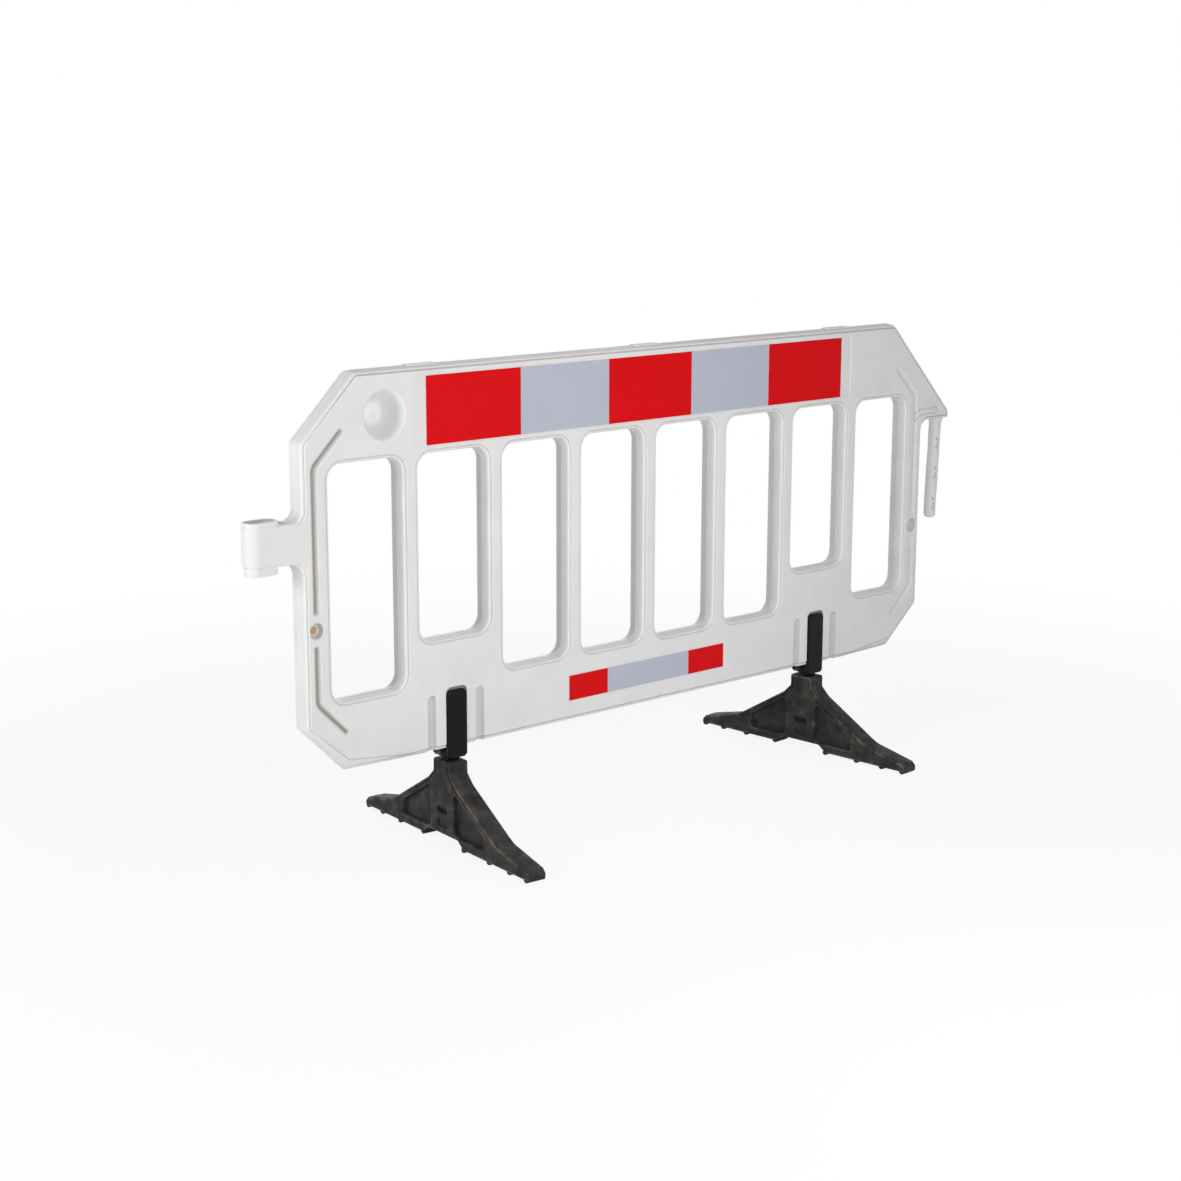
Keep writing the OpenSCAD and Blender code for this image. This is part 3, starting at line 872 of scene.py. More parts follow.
@dataclass(frozen=True)
class GlossNylon(Finish):
    """Black injection-moulded nylon: near black with a bright soft gloss and faint flow marks.

    The grain is drawn coarser than a real one, so that it shows.
    """

    name: str = "gloss_black_nylon"
    colour: str = "#060708"
    flow: str = "#0C0E0F"
    roughness: float = 0.2
    gloss: float = 0.14
    flow_mm: float = 24.0
    grain_mm: float = 1.2

    def build(self) -> bpy.types.Material:
        """Makes the material.

        Returns:
            The material.
        """
        material, tree, shader, place = self.start()
        flow = add_node(tree, "ShaderNodeTexNoise", {
            "Vector": place, "Scale": per_mm(self.flow_mm), "Detail": 5.0, "Distortion": 0.6})
        tone = add_node(tree, "ShaderNodeMix", {
            "Factor": flow.outputs["Fac"], 6: srgb(self.colour), 7: srgb(self.flow)}, data_type="RGBA")
        rough = add_node(tree, "ShaderNodeMapRange", {
            "Value": flow.outputs["Fac"], "From Min": 0.3, "From Max": 0.7,
            "To Min": self.roughness - 0.06, "To Max": self.roughness + 0.1})
        grain = add_node(tree, "ShaderNodeTexNoise", {
            "Vector": place, "Scale": per_mm(self.grain_mm), "Detail": 2.0})
        bumped = add_node(tree, "ShaderNodeBump", {
            "Height": grain.outputs["Fac"], "Strength": 0.08, "Distance": 0.1 * MM})
        fill(tree, shader, {"Base Color": tone.outputs[2], "Roughness": rough.outputs["Result"],
                            "Normal": bumped.outputs["Normal"], "Specular IOR Level": self.gloss})
        return material


@dataclass(frozen=True)
class RecycledRubber(Finish):
    """Pressed recycled rubber and plastic: dull dark grey-brown, mottled, gritty, with paler scuffs and
    dusting, painted highlights on edges, rims and up-facing walls, and painted shade in slots and creases.
    """

    name: str = "recycled_rubber"
    colour: str = "#2A2928"
    pale: str = "#423E3A"
    dark: str = "#201F1E"
    dust_and_light: str = "#726D66"
    hole_shade: str = "#060606"
    roughness: float = 0.7
    gloss: float = 0.2
    mottle_mm: float = 36.0
    grit_mm: float = 3.2

    def build(self) -> bpy.types.Material:
        """Makes the material.

        Returns:
            The material.
        """
        material, tree, shader, place = self.start()
        mottle = add_node(tree, "ShaderNodeTexNoise", {
            "Vector": place, "Scale": per_mm(self.mottle_mm), "Detail": 8.0, "Roughness": 0.68})
        tone = add_node(tree, "ShaderNodeValToRGB", {"Fac": mottle.outputs["Fac"]})
        for stop, at, code in zip(tone.color_ramp.elements, (0.34, 0.68), (self.dark, self.pale)):
            stop.position = at
            stop.color = srgb(code)
        tone.color_ramp.elements.new(0.5).color = srgb(self.colour)
        grit = add_node(tree, "ShaderNodeTexNoise", {
            "Vector": place, "Scale": per_mm(self.grit_mm), "Detail": 5.0, "Roughness": 0.7})
        fleck = add_node(tree, "ShaderNodeMapRange", {
            "Value": grit.outputs["Fac"], "From Min": 0.58, "From Max": 0.75, "To Min": 0.0, "To Max": 0.5})
        wear_and_shading = add_node(tree, "ShaderNodeAttribute", attribute_name="grime_and_shading").outputs["Fac"]
        patch = add_node(tree, "ShaderNodeMapRange", {
            "Value": mottle.outputs["Fac"], "From Min": 0.42, "From Max": 0.6, "To Min": 0.06, "To Max": 0.7})
        # The pale mark is dusting and wear, with painted highlight on edges and rims and painted light on
        # walls that face up.
        worn = add_node(tree, "ShaderNodeMath", {0: wear_and_shading, 1: patch.outputs["Result"]}, operation="MULTIPLY")
        # Below 0 the mark is painted shade: the slots and the creases are painted near black.
        hollow = add_node(tree, "ShaderNodeMapRange", {
            "Value": wear_and_shading, "From Min": -1.0, "From Max": 0.0, "To Min": 1.0, "To Max": 0.0})
        colour = tone.outputs["Color"]
        for share, code in ((fleck.outputs["Result"], self.pale), (worn.outputs[0], self.dust_and_light),
                            (hollow.outputs["Result"], self.hole_shade)):
            colour = add_node(tree, "ShaderNodeMix", {"Factor": share, 6: colour, 7: srgb(code)},
                              data_type="RGBA").outputs[2]
        rough = add_node(tree, "ShaderNodeMapRange", {
            "Value": mottle.outputs["Fac"], "From Min": 0.3, "From Max": 0.7,
            "To Min": self.roughness + 0.1, "To Max": self.roughness - 0.14})
        fine = add_node(tree, "ShaderNodeBump", {
            "Height": grit.outputs["Fac"], "Strength": 0.45, "Distance": 0.5 * MM})
        coarse = add_node(tree, "ShaderNodeBump", {
            "Height": mottle.outputs["Fac"], "Strength": 0.4, "Distance": 1.6 * MM,
            "Normal": fine.outputs["Normal"]})
        fill(tree, shader, {"Base Color": colour, "Roughness": rough.outputs["Result"],
                            "Normal": coarse.outputs["Normal"], "Specular IOR Level": self.gloss})
        return material


@dataclass(frozen=True)
class TanPlastic(Finish):
    """Tan plug plastic: dull, slightly streaked and darker in its pits."""

    name: str = "tan_plug_plastic"
    colour: str = "#C6A56F"
    dark: str = "#A98952"
    roughness: float = 0.6
    pit_mm: float = 3.0

    def build(self) -> bpy.types.Material:
        """Makes the material.

        Returns:
            The material.
        """
        material, tree, shader, place = self.start()
        pits = add_node(tree, "ShaderNodeTexNoise", {
            "Vector": place, "Scale": per_mm(self.pit_mm), "Detail": 4.0})
        tone = add_node(tree, "ShaderNodeMix", {
            "Factor": pits.outputs["Fac"], 6: srgb(self.colour), 7: srgb(self.dark)}, data_type="RGBA")
        bumped = add_node(tree, "ShaderNodeBump", {
            "Height": pits.outputs["Fac"], "Strength": 0.4, "Distance": 0.4 * MM})
        fill(tree, shader, {"Base Color": tone.outputs[2], "Roughness": self.roughness,
                            "Normal": bumped.outputs["Normal"]})
        return material


@dataclass(frozen=True)
class ZincSteel(Finish):
    """Zinc-plated steel: bright grey metal with a cloudy spangle and a rougher bloom."""

    name: str = "zinc_plated_steel"
    colour: str = "#B4B8BC"
    dull: str = "#8F9498"
    polished: float = 0.25
    bloomed: float = 0.5
    bloom_mm: float = 6.0

    def build(self) -> bpy.types.Material:
        """Makes the material.

        Returns:
            The material.
        """
        material, tree, shader, place = self.start()
        bloom = add_node(tree, "ShaderNodeTexNoise", {
            "Vector": place, "Scale": per_mm(self.bloom_mm), "Detail": 5.0})
        tone = add_node(tree, "ShaderNodeMix", {
            "Factor": bloom.outputs["Fac"], 6: srgb(self.colour), 7: srgb(self.dull)}, data_type="RGBA")
        rough = add_node(tree, "ShaderNodeMapRange", {
            "Value": bloom.outputs["Fac"], "To Min": self.polished, "To Max": self.bloomed})
        fill(tree, shader, {"Base Color": tone.outputs[2], "Roughness": rough.outputs["Result"],
                            "Metallic": 1.0})
        return material


@dataclass
class Palette:
    """All finishes of the part, each built once, by the record's slot names."""

    made: dict[str, bpy.types.Material] = field(default_factory=dict)

    def build(self) -> None:
        """Builds every finish."""
        finishes = {
            "panel_plastic": MouldedPolyethylene(),
            "plug_plastic": TanPlastic(),
            Film.RED.value: PrismaticFilm("red_prismatic_film"),
            Film.SILVER.value: PrismaticFilm("silver_prismatic_film", "#C0C5D2", "#B4BAC7"),
            "clip_plastic": GlossNylon(),
            "foot_rubber": RecycledRubber(),
            "bolt_steel": ZincSteel(),
        }
        for slot, finish in finishes.items():
            self.made[slot] = finish.build()
            LOG.info("finish %s", finish.name)

    def paint(self, thing: bpy.types.Object, slot: str) -> None:
        """Puts one finish on all of an object."""
        thing.data.materials.clear()
        thing.data.materials.append(self.made[slot])

    def dress_node(self, node: str, slot: str) -> None:
        """Puts one finish in the material slots of a CAD node.

        Args:
            node: the node's name.
            slot: the record's material slot.
        """
        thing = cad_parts[node]
        if not thing.material_slots:
            thing.data.materials.append(self.made[slot])
        for holder in thing.material_slots:
            holder.material = self.made[slot]
        LOG.info("node %s wears %s", node, self.made[slot].name)

    def hand_over(self, thing: bpy.types.Object, slot: str, body: str, *nodes: str) -> None:
        """Paints a new piece, sets what it rides on and hides the CAD nodes that it stands for.

        Args:
            thing: the finished piece.
            slot: the record's material slot.
            body: the CAD body that it rides on.
            nodes: the CAD nodes that it replaces.
        """
        self.paint(thing, slot)
        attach(thing, body)
        if nodes:
            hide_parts(*nodes)
        LOG.info("piece %s: %d faces, on %s", thing.name, len(thing.data.polygons), body)


# Sub-assemblies


@dataclass
class PanelBoard:
    """The white moulded board with its windows, beads, grooves, dish, bosses and hook nose.

    Attributes are sizes in millimetres, apart from counts, angles and shares of painted shade and darkening.
    Rings are distances from a form's outline at which the mesh gets points. Places come from the frame.
    """

    nose_reach: float = 100.0
    up_cut: float = 127.0
    right_cut: float = 108.5
    low_cut: float = 97.0
    nose_tip: float = 21.0
    corner_round: float = 16.0
    left_round: float = 18.0
    right_round: float = 24.0
    nose_round: float = 28.0
    tip_round: float = 4.0
    stile: float = 57.4
    window_count: int = 8
    short_windows: tuple[int, int] = (1, 6)
    window_set: float = 5.5
    window: float = 174.5
    pitch: float = 211.6
    window_low: float = 143.0
    window_tall: float = 466.0
    short_rise: float = 88.0
    window_radius: float = 30.0
    window_bead: float = 4.6
    window_deep: float = 6.4
    window_step: Sink = Sink(1.2, 5.6, 8.0)
    window_valley: Hump = Hump(2.0, 6.4, 2.2)
    # Painted shade in the valley round each window.
    window_valley_shade: Hump = Hump(0.35, 6.4, 2.0)
    window_rings: tuple[float, ...] = (5.2, 5.7, 6.2, 6.8, 7.4, 8.0, 8.7, 9.5)
    edge_draft: float = 2.0
    seam_proud: float = 0.5
    seam_radius: float = 0.9
    seam_sides: int = 8
    seam_sharp: float = 60.0
    bead: float = 5.0
    bead_deep: float = 7.0
    rim_step: Sink = Sink(1.3, 6.4, 9.0)
    valley: Hump = Hump(2.4, 6.8, 2.5)
    # Painted shade in the valley along the outline.
    valley_shade: Hump = Hump(0.6, 6.8, 2.2)
    valley_rings: tuple[float, ...] = (-1.0, -0.5, 0.0, 0.6, 1.4, 2.2, 2.8, 3.8)
    # Where the valley's painted shade fades out at the left end, which the light reaches.
    lit_end: tuple[float, float] = (90.0, 140.0)
    pad_rise: float = 1.5
    pad_long: float = 70.0
    pad_wide: float = 20.0
    pad_off: float = 595.0
    pad_round: float = 4.0
    pad_half: float = 2.0
    pad_edge: RoundEdge = RoundEdge(1.0, 1.0)
    strip_end: float = 33.0
    strip_edge: float = 3.0
    strip_round: float = 4.0
    recess: Sink = Sink(1.0, -0.9, 0.3)
    recess_rings: tuple[float, ...] = (1.0, 0.3, -0.3, -0.9, -1.5)
    # Strip recesses are painted slightly darker where deep.
    recess_darkening: float = 0.05
    dish_radius: float = 51.0
    dish_floor: float = 20.0
    dish_depth: float = 43.0
    dish_gap: float = 16.0
    dish_straight: float = 0.45
    dish_ring: Hump = Hump(1.0, 5.0, 1.8)
    # Painted light on the dish's flat floor.
    dish_floor_light: Sink = Sink(-1.0, 18.0, 20.0)
    dish_rings: tuple[float, ...] = (2.4, 1.0, -2, -4, -7, -10, -13, -16, -19, -22, -25, -28, -31, -35, -40,
                                     -44.3, -45.2, -46.1, -47.2)
    boss_radius: float = 17.0
    boss_depth: float = 14.0
    boss_wall: float = 6.5
    boss_lip: Hump = Hump(2.4, 9.0, 2.2)
    boss_rings: tuple[float, ...] = (1.0, -0.8, -1.8, -3, -4.2, -5.4, -6.5, -7.4, -8.2, -9, -10.2, -11.4)
    # Boss recesses are painted darker where deep.
    boss_darkening: float = 0.3
    groove_half: float = 8.2
    groove_off: float = 55.0
    groove_slant: float = 64.0
    groove_bend: float = 24.0
    groove: Sink = Sink(5.0, -5.4, 0.7)
    groove_rings: tuple[float, ...] = (1.5, 0.7, -0.4, -1.4, -2.6, -4.0, -5.4, -6.8)
    # The left stile's grooves are painted darker in their floors than the right stile's.
    left_groove_darkening: Sink = Sink(1.0, -6.4, -2.4)
    right_groove_darkening: Sink = Sink(0.2, -6.4, -2.4)
    boss_gap: float = 36.0
    past_edge: float = 30.0
    side_off: float = 61.0
    side_half: float = 12.0
    side_top: float = 120.0
    side_round: float = 11.5
    side_groove: Sink = Sink(6.5, -9.0, 0.5)
    side_rings: tuple[float, ...] = (1.2, 0.5, -0.8, -2, -3.5, -5.2, -7.0, -9)
    # Painted shade in the side grooves.
    side_groove_shade: float = 0.35
    clip_gap: float = 1.2
    clip_lift: float = 1.4
    clip_round: float = 12.0
    clip_recess: Sink = Sink(5.0, -0.8, 0.5)
    clip_rings: tuple[float, ...] = (1.2, 0.5, -0.2, -0.8, -1.4)
    # Painted shadow in the gap round each clip's leg.
    clip_gap_shadow: float = 1.0
    facet_high: float = 25.0
    facet_first: float = 3.5
    facet_tilt: float = 30.0
    facet_gap: float = 7.0
    facet_far: float = 300.0
    facet_rings: tuple[float, ...] = (3.6, 2.6, 1.6, 0.6, -0.4, -1.4, -2.4)
    fade_below: float = 34.0
    fade_above: float = 4.0
    crease: Hump = Hump(1.4, 0.6, 2.0)
    # Painted shade along the facets' creases.
    facet_crease_shade: Hump = Hump(0.6, 0.6, 1.8)
    crease_calm: Sink = Sink(1.0, -1.5, 2.5)
    hook_back: float = 34.0
    hook_reach: float = 48.0
    hook_start: float = 3.0
    hook_run: float = 19.0
    hook_bend: float = 40.0
    hook_up: float = 24.5
    hook_half: float = 5.2
    hook_bead: Sink = Sink(2.4, -4.6, 0.4)
    hook_valley: Hump = Hump(1.8, 1.8, 2.4)
    # Painted shade in the valley along the hook bead.
    hook_valley_shade: Hump = Hump(0.5, 1.6, 1.8)
    hook_rings: tuple[float, ...] = (5.2, 4.2, 3.0, 1.8, 0.8, -1.2, -2.4, -3.5, -4.6)
    socket_radius: float = 21.5
    socket_join: float = 53.0
    collar_high: float = 10.5
    socket_fillet: float = 20.0
    collar_fillet: float = 26.0
    slot_fillet: float = 22.0
    block_gap: float = 4.0

    def __post_init__(self) -> None:
        """Reads the board's place from the frame."""
        low, high = box_mm("panel_shell")
        self.left = low[0]
        self.right = high[0] - self.nose_reach
        self.tip = high[0]
        self.floor = low[2]
        self.top = high[2] - self.pad_rise
        self.half = high[1]
        self.middle = (self.left + self.right) / 2
        self.nose = box_mm("coupling_pin")[1][2]
        sock_low, sock_high = box_mm("coupling_socket")
        self.sock_x = sock_low[0] + self.socket_radius
        self.sock_top = sock_high[2]
        self.sock_floor = sock_low[2] + self.collar_high
        plug_low, plug_high = box_mm("blow_plug")
        self.boss_z = (plug_low[2] + plug_high[2]) / 2
        clip_low, clip_high = box_mm("clip_right")
        self.foot_x = (clip_low[0] + clip_high[0]) / 2 - self.middle
        self.clip_half = (clip_high[0] - clip_low[0]) / 2
        self.clip_top = clip_high[2]

    def silhouette(self) -> np.ndarray:
        """Outlines the board at its parting line, as far as the seam reaches.

        Returns:
            The outline's points, anticlockwise.
        """
        end = self.sock_x + self.socket_join
        corner = self.corner_round
        return rounded_polygon([
            (self.left + self.low_cut, self.floor, corner), (self.right - self.low_cut, self.floor, corner),
            (self.right, self.floor + self.low_cut, corner), (self.right, self.nose, self.slot_fillet),
            (self.tip, self.nose, self.tip_round), (self.tip, self.nose + self.nose_tip, self.nose_round),
            (self.right - self.right_cut, self.top, self.right_round),
            (self.left + self.up_cut, self.top, self.left_round),
            (self.left, self.top - self.up_cut, corner), (self.left, self.sock_top, self.socket_fillet),
            (end, self.sock_top, 0), (end, self.sock_floor, 0),
            (self.left, self.sock_floor, self.collar_fillet), (self.left, self.floor + self.low_cut, corner)])

    def outline(self) -> np.ndarray:
        """Outline of the faces, drawn in by the seam and the wall's draft."""
        return offset_loop(self.silhouette(), -self.seam_proud - self.edge_draft)

    def window_loop(self, i: int) -> np.ndarray:
        """Outlines one window.

        Args:
            i: the window's number, counted from 0 at the left.

        Returns:
            The outline's points, anticlockwise.
        """
        x = self.left + self.stile + self.window_set + i * self.pitch
        low = self.floor + self.window_low
        high = low + self.window_tall
        if i in self.short_windows:
            low += self.short_rise
        return rounded_rectangle(x, low, x + self.window, high, self.window_radius)

    def facet_loops(self) -> list[np.ndarray]:
        """Outlines the regions of the wide facets at the two lower corners.

        Returns:
            The left and the right region; both run well past the board's outline.
        """
        far = self.facet_far
        start = self.middle - self.foot_x - self.side_off - self.side_half - self.facet_gap
        inner = self.seam_proud + self.edge_draft + self.valley.middle
        corner = self.floor + self.low_cut + inner * math.tan(math.pi / 8)
        rise = (corner - self.floor - self.facet_high) / (self.low_cut - inner)
        loop = np.array([
            (start, self.floor + self.facet_first), (self.left + self.low_cut, self.floor + self.facet_high),
            (self.left - far, corner + rise * (inner + far)),
            (self.left - far, self.floor - far), (start, self.floor - far)])
        mirrored = loop[::-1].copy()
        mirrored[:, 0] = 2 * self.middle - mirrored[:, 0]
        return [loop, mirrored]

    def facet_fade(self, points: np.ndarray) -> np.ndarray:
        """How much of a facet there is at each level: all of it low down, none above the corner."""
        corner = self.floor + self.low_cut
        return 1 - smooth(corner - self.fade_below, corner + self.fade_above, points[:, 1])

    def rim(self, points: np.ndarray, inset: np.ndarray) -> np.ndarray:
        """Shapes the outline's rounded edge, the valley inside it and the lower facets.

        Args:
            points: the points of a face.
            inset: their distances in from the outline.

        Returns:
            The depth below the face at each point.
        """
        drawn_in = self.seam_proud + self.edge_draft
        level = np.minimum(self.sock_top - drawn_in - points[:, 1], points[:, 1] - self.sock_floor - drawn_in)
        block_end = self.left - self.socket_fillet - self.block_gap
        inset = np.where(points[:, 0] < block_end, np.maximum(0, level), inset)
        calm = smooth(block_end, self.left, points[:, 0])
        fade = self.facet_fade(points)
        facets = np.zeros(len(points))
        soft = self.crease.half
        for loop in self.facet_loops():
            away = signed_distance(points, loop)
            into = np.maximum(0, -away)
            slope = np.where(into > soft, into - soft / 2, into ** 2 / (2 * soft))
            facets += fade * (slope * math.tan(math.radians(self.facet_tilt)) + self.crease(away))
            calm *= 1 - fade * self.crease_calm(away)
        edge = quarter_round(inset, self.bead, self.bead_deep)
        return edge + calm * (self.rim_step(inset) + self.valley(inset)) + facets

    def rim_painted_shade(self, points: np.ndarray, inset: np.ndarray) -> np.ndarray:
        """Paints shade in the valley along the outline, fading out at the lit left end, and in the facets'
        creases.

        Args:
            points: the points of a face.
            inset: their distances in from the outline.

        Returns:
            The painted shade at each point, from 0 to 1.
        """
        first, last = self.lit_end
        # Painted shade in the valley, fading out towards the lit left end.
        grime_and_shading = self.valley_shade(inset) * smooth(self.left + first, self.left + last, points[:, 0])
        for loop in self.facet_loops():
            # Painted shade in the facets' creases.
            crease = self.facet_crease_shade(signed_distance(points, loop))
            grime_and_shading = np.maximum(grime_and_shading, self.facet_fade(points) * crease)
        return grime_and_shading

    def window_depth(self, away: np.ndarray) -> np.ndarray:
        """Depth of a window's bead and of the valley round it."""
        bead = quarter_round(away, self.window_bead, self.window_deep)
        return bead + self.window_step(away) + self.window_valley(away)

    def dish_form(self, away: np.ndarray) -> np.ndarray:
        """Shapes the dish: a curving wall and a flat floor with a small ring.

        Args:
            away: signed distances from the dish's rim.

        Returns:
            The depth below the face at each distance.
        """
        t = np.clip(-away / (self.dish_radius - self.dish_floor), 0, 1)
        wall = self.dish_straight * t + (1 - self.dish_straight) * (1 - np.cos(math.pi * t)) / 2
        return self.dish_depth * wall - self.dish_ring(self.dish_radius + away)

    def dish_painted_light(self, away: np.ndarray) -> np.ndarray:
        """Painted light on the dish's flat floor, below 0, and none elsewhere."""
        return self.dish_floor_light(self.dish_radius + away)

    def boss_form(self, away: np.ndarray) -> np.ndarray:
        """Depth of a boss recess, with a raised lip round its hole."""
        return self.boss_depth * smooth(0, self.boss_wall, -away) - self.boss_lip(self.boss_radius + away)

    def hook_form(self, away: np.ndarray) -> np.ndarray:
        """Depth of the raised bead over the pin's slot, with a valley along it."""
        return self.hook_valley(away) - self.hook_bead(away)

    def groove_paths(self) -> list[list[tuple[float, float, float]]]:
        """Lays out the middle lines of the four stile grooves.

        Returns:
            The lines, each point with its bend radius, those of the right stile first.
        """
        mid = self.stile / 2
        x = self.right - mid
        up = self.top - self.up_cut + mid - self.groove_off * math.sqrt(2)
        low = self.floor + self.low_cut - mid + self.groove_off * math.sqrt(2)
        slant = self.groove_slant
        bend = self.groove_bend
        right = [[(x, self.boss_z + self.boss_gap, 0), (x, up, bend), (x - slant, up + slant, 0)],
                 [(x, self.boss_z - self.boss_gap, 0), (x, low, bend), (x - slant, low - slant, 0)]]
        left = [[(2 * self.middle - px, pz, r) for px, pz, r in path] for path in right]
        return right + left

    def standing_loop(self, x: float, half: float, top: float, radius: float) -> np.ndarray:
        """Outlines a round-topped form that runs off the board's lower edge.

        Args:
            x: its middle.
            half: half its width.
            top: the level of its top.
            radius: the radius of its two upper corners.

        Returns:
            The outline's points, anticlockwise.
        """
        low = self.floor - self.past_edge
        return rounded_polygon([(x - half, low, 0), (x + half, low, 0), (x + half, top, radius),
                                (x - half, top, radius)])

    def strip_forms(self) -> list[Press]:
        """Makes the shallow recesses that hold the films.

        Returns:
            The upper and the lower recess.
        """
        forms = []
        edge = self.strip_edge
        for first, last, end in (("film_front_1", "film_front_5", self.strip_end),
                                 ("film_front_low_1", "film_front_low_3", edge)):
            low = box_mm(first)[0]
            high = box_mm(last)[1]
            loop = rounded_rectangle(low[0] - end, low[2] - edge, high[0] + end, high[2] + edge,
                                     self.strip_round)
            forms.append(Press(loop, self.recess, self.recess_rings, self.recess_darkening))
        return forms

    def groove_forms(self) -> list[Press]:
        """Makes the four stile grooves, those of the left stile darker.

        Returns:
            The grooves.
        """
        forms = []
        for path in self.groove_paths():
            groove_darkening = self.left_groove_darkening if path[0][0] < self.middle else self.right_groove_darkening
            forms.append(Press(bent_strip(path, self.groove_half), self.groove, self.groove_rings, tint=groove_darkening))
        return forms

    def foot_forms(self) -> list[Press]:
        """Makes the two side grooves and the clip's recess above each foot.

        Returns:
            The forms, from left to right.
        """
        forms = []
        for end in (-1, 1):
            x = self.middle + end * self.foot_x
            for way in (-1, 1):
                loop = self.standing_loop(x + way * self.side_off, self.side_half, self.floor + self.side_top,
                                          self.side_round)
                # Each side groove carries painted shade.
                forms.append(Press(loop, self.side_groove, self.side_rings, self.side_groove_shade))
            loop = self.standing_loop(x, self.clip_half + self.clip_gap, self.clip_top + self.clip_lift,
                                      self.clip_round)
            # The clip's recess carries painted shadow in its gap.
            forms.append(Press(loop, self.clip_recess, self.clip_rings, self.clip_gap_shadow))
        return forms

    def hook_press(self) -> Press:
        """Makes the raised bead that hooks over the pin's slot.

        Returns:
            The bead with the valley along it.
        """
        start = self.right - self.hook_back
        level = self.nose + self.hook_up
        path = [(start, self.nose + self.hook_start, 0), (start + self.hook_run, level, self.hook_bend),
                (self.right + self.hook_reach, level, 0)]
        return Press(bent_strip(path, self.hook_half), self.hook_form, self.hook_rings, tint=self.hook_valley_shade)

    def front_forms(self) -> list[Press]:
        """Makes the dish and the boss recesses, which only the front has.

        Returns:
            The dish and the two recesses.
        """
        low, high = box_mm("film_front_1")
        x = low[0] - self.strip_end - self.dish_gap - self.dish_radius
        dish = circle(x, (low[2] + high[2]) / 2, self.dish_radius)
        forms = [Press(dish, self.dish_form, self.dish_rings, tint=self.dish_painted_light)]
        for end in (-1, 1):
            x = self.middle + end * (self.right - self.stile / 2 - self.middle)
            loop = circle(x, self.boss_z, self.boss_radius)
            forms.append(Press(loop, self.boss_form, self.boss_rings, self.boss_darkening))
        return forms

    def presses(self, side: Side) -> list[Press]:
        """Collects the forms pressed into one face.

        Args:
            side: front or back.

        Returns:
            The forms.
        """
        forms = [Press(loop, np.zeros_like, self.facet_rings) for loop in self.facet_loops()]
        forms += self.strip_forms() + self.groove_forms() + self.foot_forms() + [self.hook_press()]
        if side is Side.FRONT:
            forms += self.front_forms()
        return forms

    def build(self, palette: Palette) -> None:
        """Makes the board with its pads and its seam and hands them over.

        Args:
            palette: the finishes.
        """
        rings = round_rings(self.window_bead) + list(self.window_rings)
        windows = [Press(self.window_loop(i), self.window_depth, rings, tint=self.window_valley_shade)
                   for i in range(self.window_count)]
        rim_rings = round_rings(self.bead) + [self.valley.middle + r for r in self.valley_rings]
        plate = Plate(self.outline(), self.rim, rim_rings, self.half, windows, self.presses(Side.FRONT),
                      self.presses(Side.BACK), self.edge_draft, rim_shading=self.rim_painted_shade)
        palette.hand_over(plate.skin(straight).build("panel_board"), "panel_plastic", "panel", "panel_shell")
        self.build_pads(palette)
        self.build_seam(palette)

    def build_pads(self, palette: Palette) -> None:
        """Makes the three flat pads on the top edge and hands them over.

        Args:
            palette: the finishes.
        """
        pads = None
        for x in (-self.pad_off, 0.0, self.pad_off):
            loop = rounded_rectangle(self.middle + x - self.pad_long / 2, -self.pad_wide / 2,
                                     self.middle + x + self.pad_long / 2, self.pad_wide / 2, self.pad_round)
            plate = Plate(loop, self.pad_edge, self.pad_edge.rings(), self.pad_half, draft=0.0)
            one = plate.skin(lying(self.top + self.pad_rise - self.pad_half))
            pads = one if pads is None else pads.plus(one)
        palette.hand_over(pads.build("top_pads"), "panel_plastic", "panel")

    def build_seam(self, palette: Palette) -> None:
        """Lays the fine ridge of the mould's parting line round the board and in each window.

        Args:
            palette: the finishes.
        """
        recipe = NodeRecipe("parting_seam")
        radius = recipe.take("Ridge Radius", "NodeSocketFloat")
        sides = recipe.take("Ridge Sides", "NodeSocketInt")
        line = add_node(recipe.tree, "GeometryNodeMeshToCurve", {"Mesh": recipe.entry.outputs["Geometry"]})
        ring = add_node(recipe.tree, "GeometryNodeCurvePrimitiveCircle",
                        {"Resolution": sides, "Radius": radius})
        swept = add_node(recipe.tree, "GeometryNodeCurveToMesh", {"Curve": line.outputs["Curve"],
                                                                  "Profile Curve": ring.outputs["Curve"]})
        recipe.close(swept.outputs["Mesh"])
        sunk = self.seam_radius - self.seam_proud
        loops = [offset_loop(self.silhouette(), -self.seam_radius)]
        loops += [offset_loop(self.window_loop(i), sunk - self.edge_draft) for i in range(self.window_count)]
        points = []
        edges = []
        for loop in loops:
            first = len(points)
            points += [(x, 0.0, z) for x, z in loop]
            edges += [(first + k, first + (k + 1) % len(loop)) for k in range(len(loop))]
        values = {"Finish": palette.made["panel_plastic"], "Ridge Radius": self.seam_radius * MM,
                  "Ridge Sides": self.seam_sides}
        thing = recipe.grow("parting_seam", np.array(points), edges, values, self.seam_sharp)
        palette.hand_over(thing, "panel_plastic", "panel")


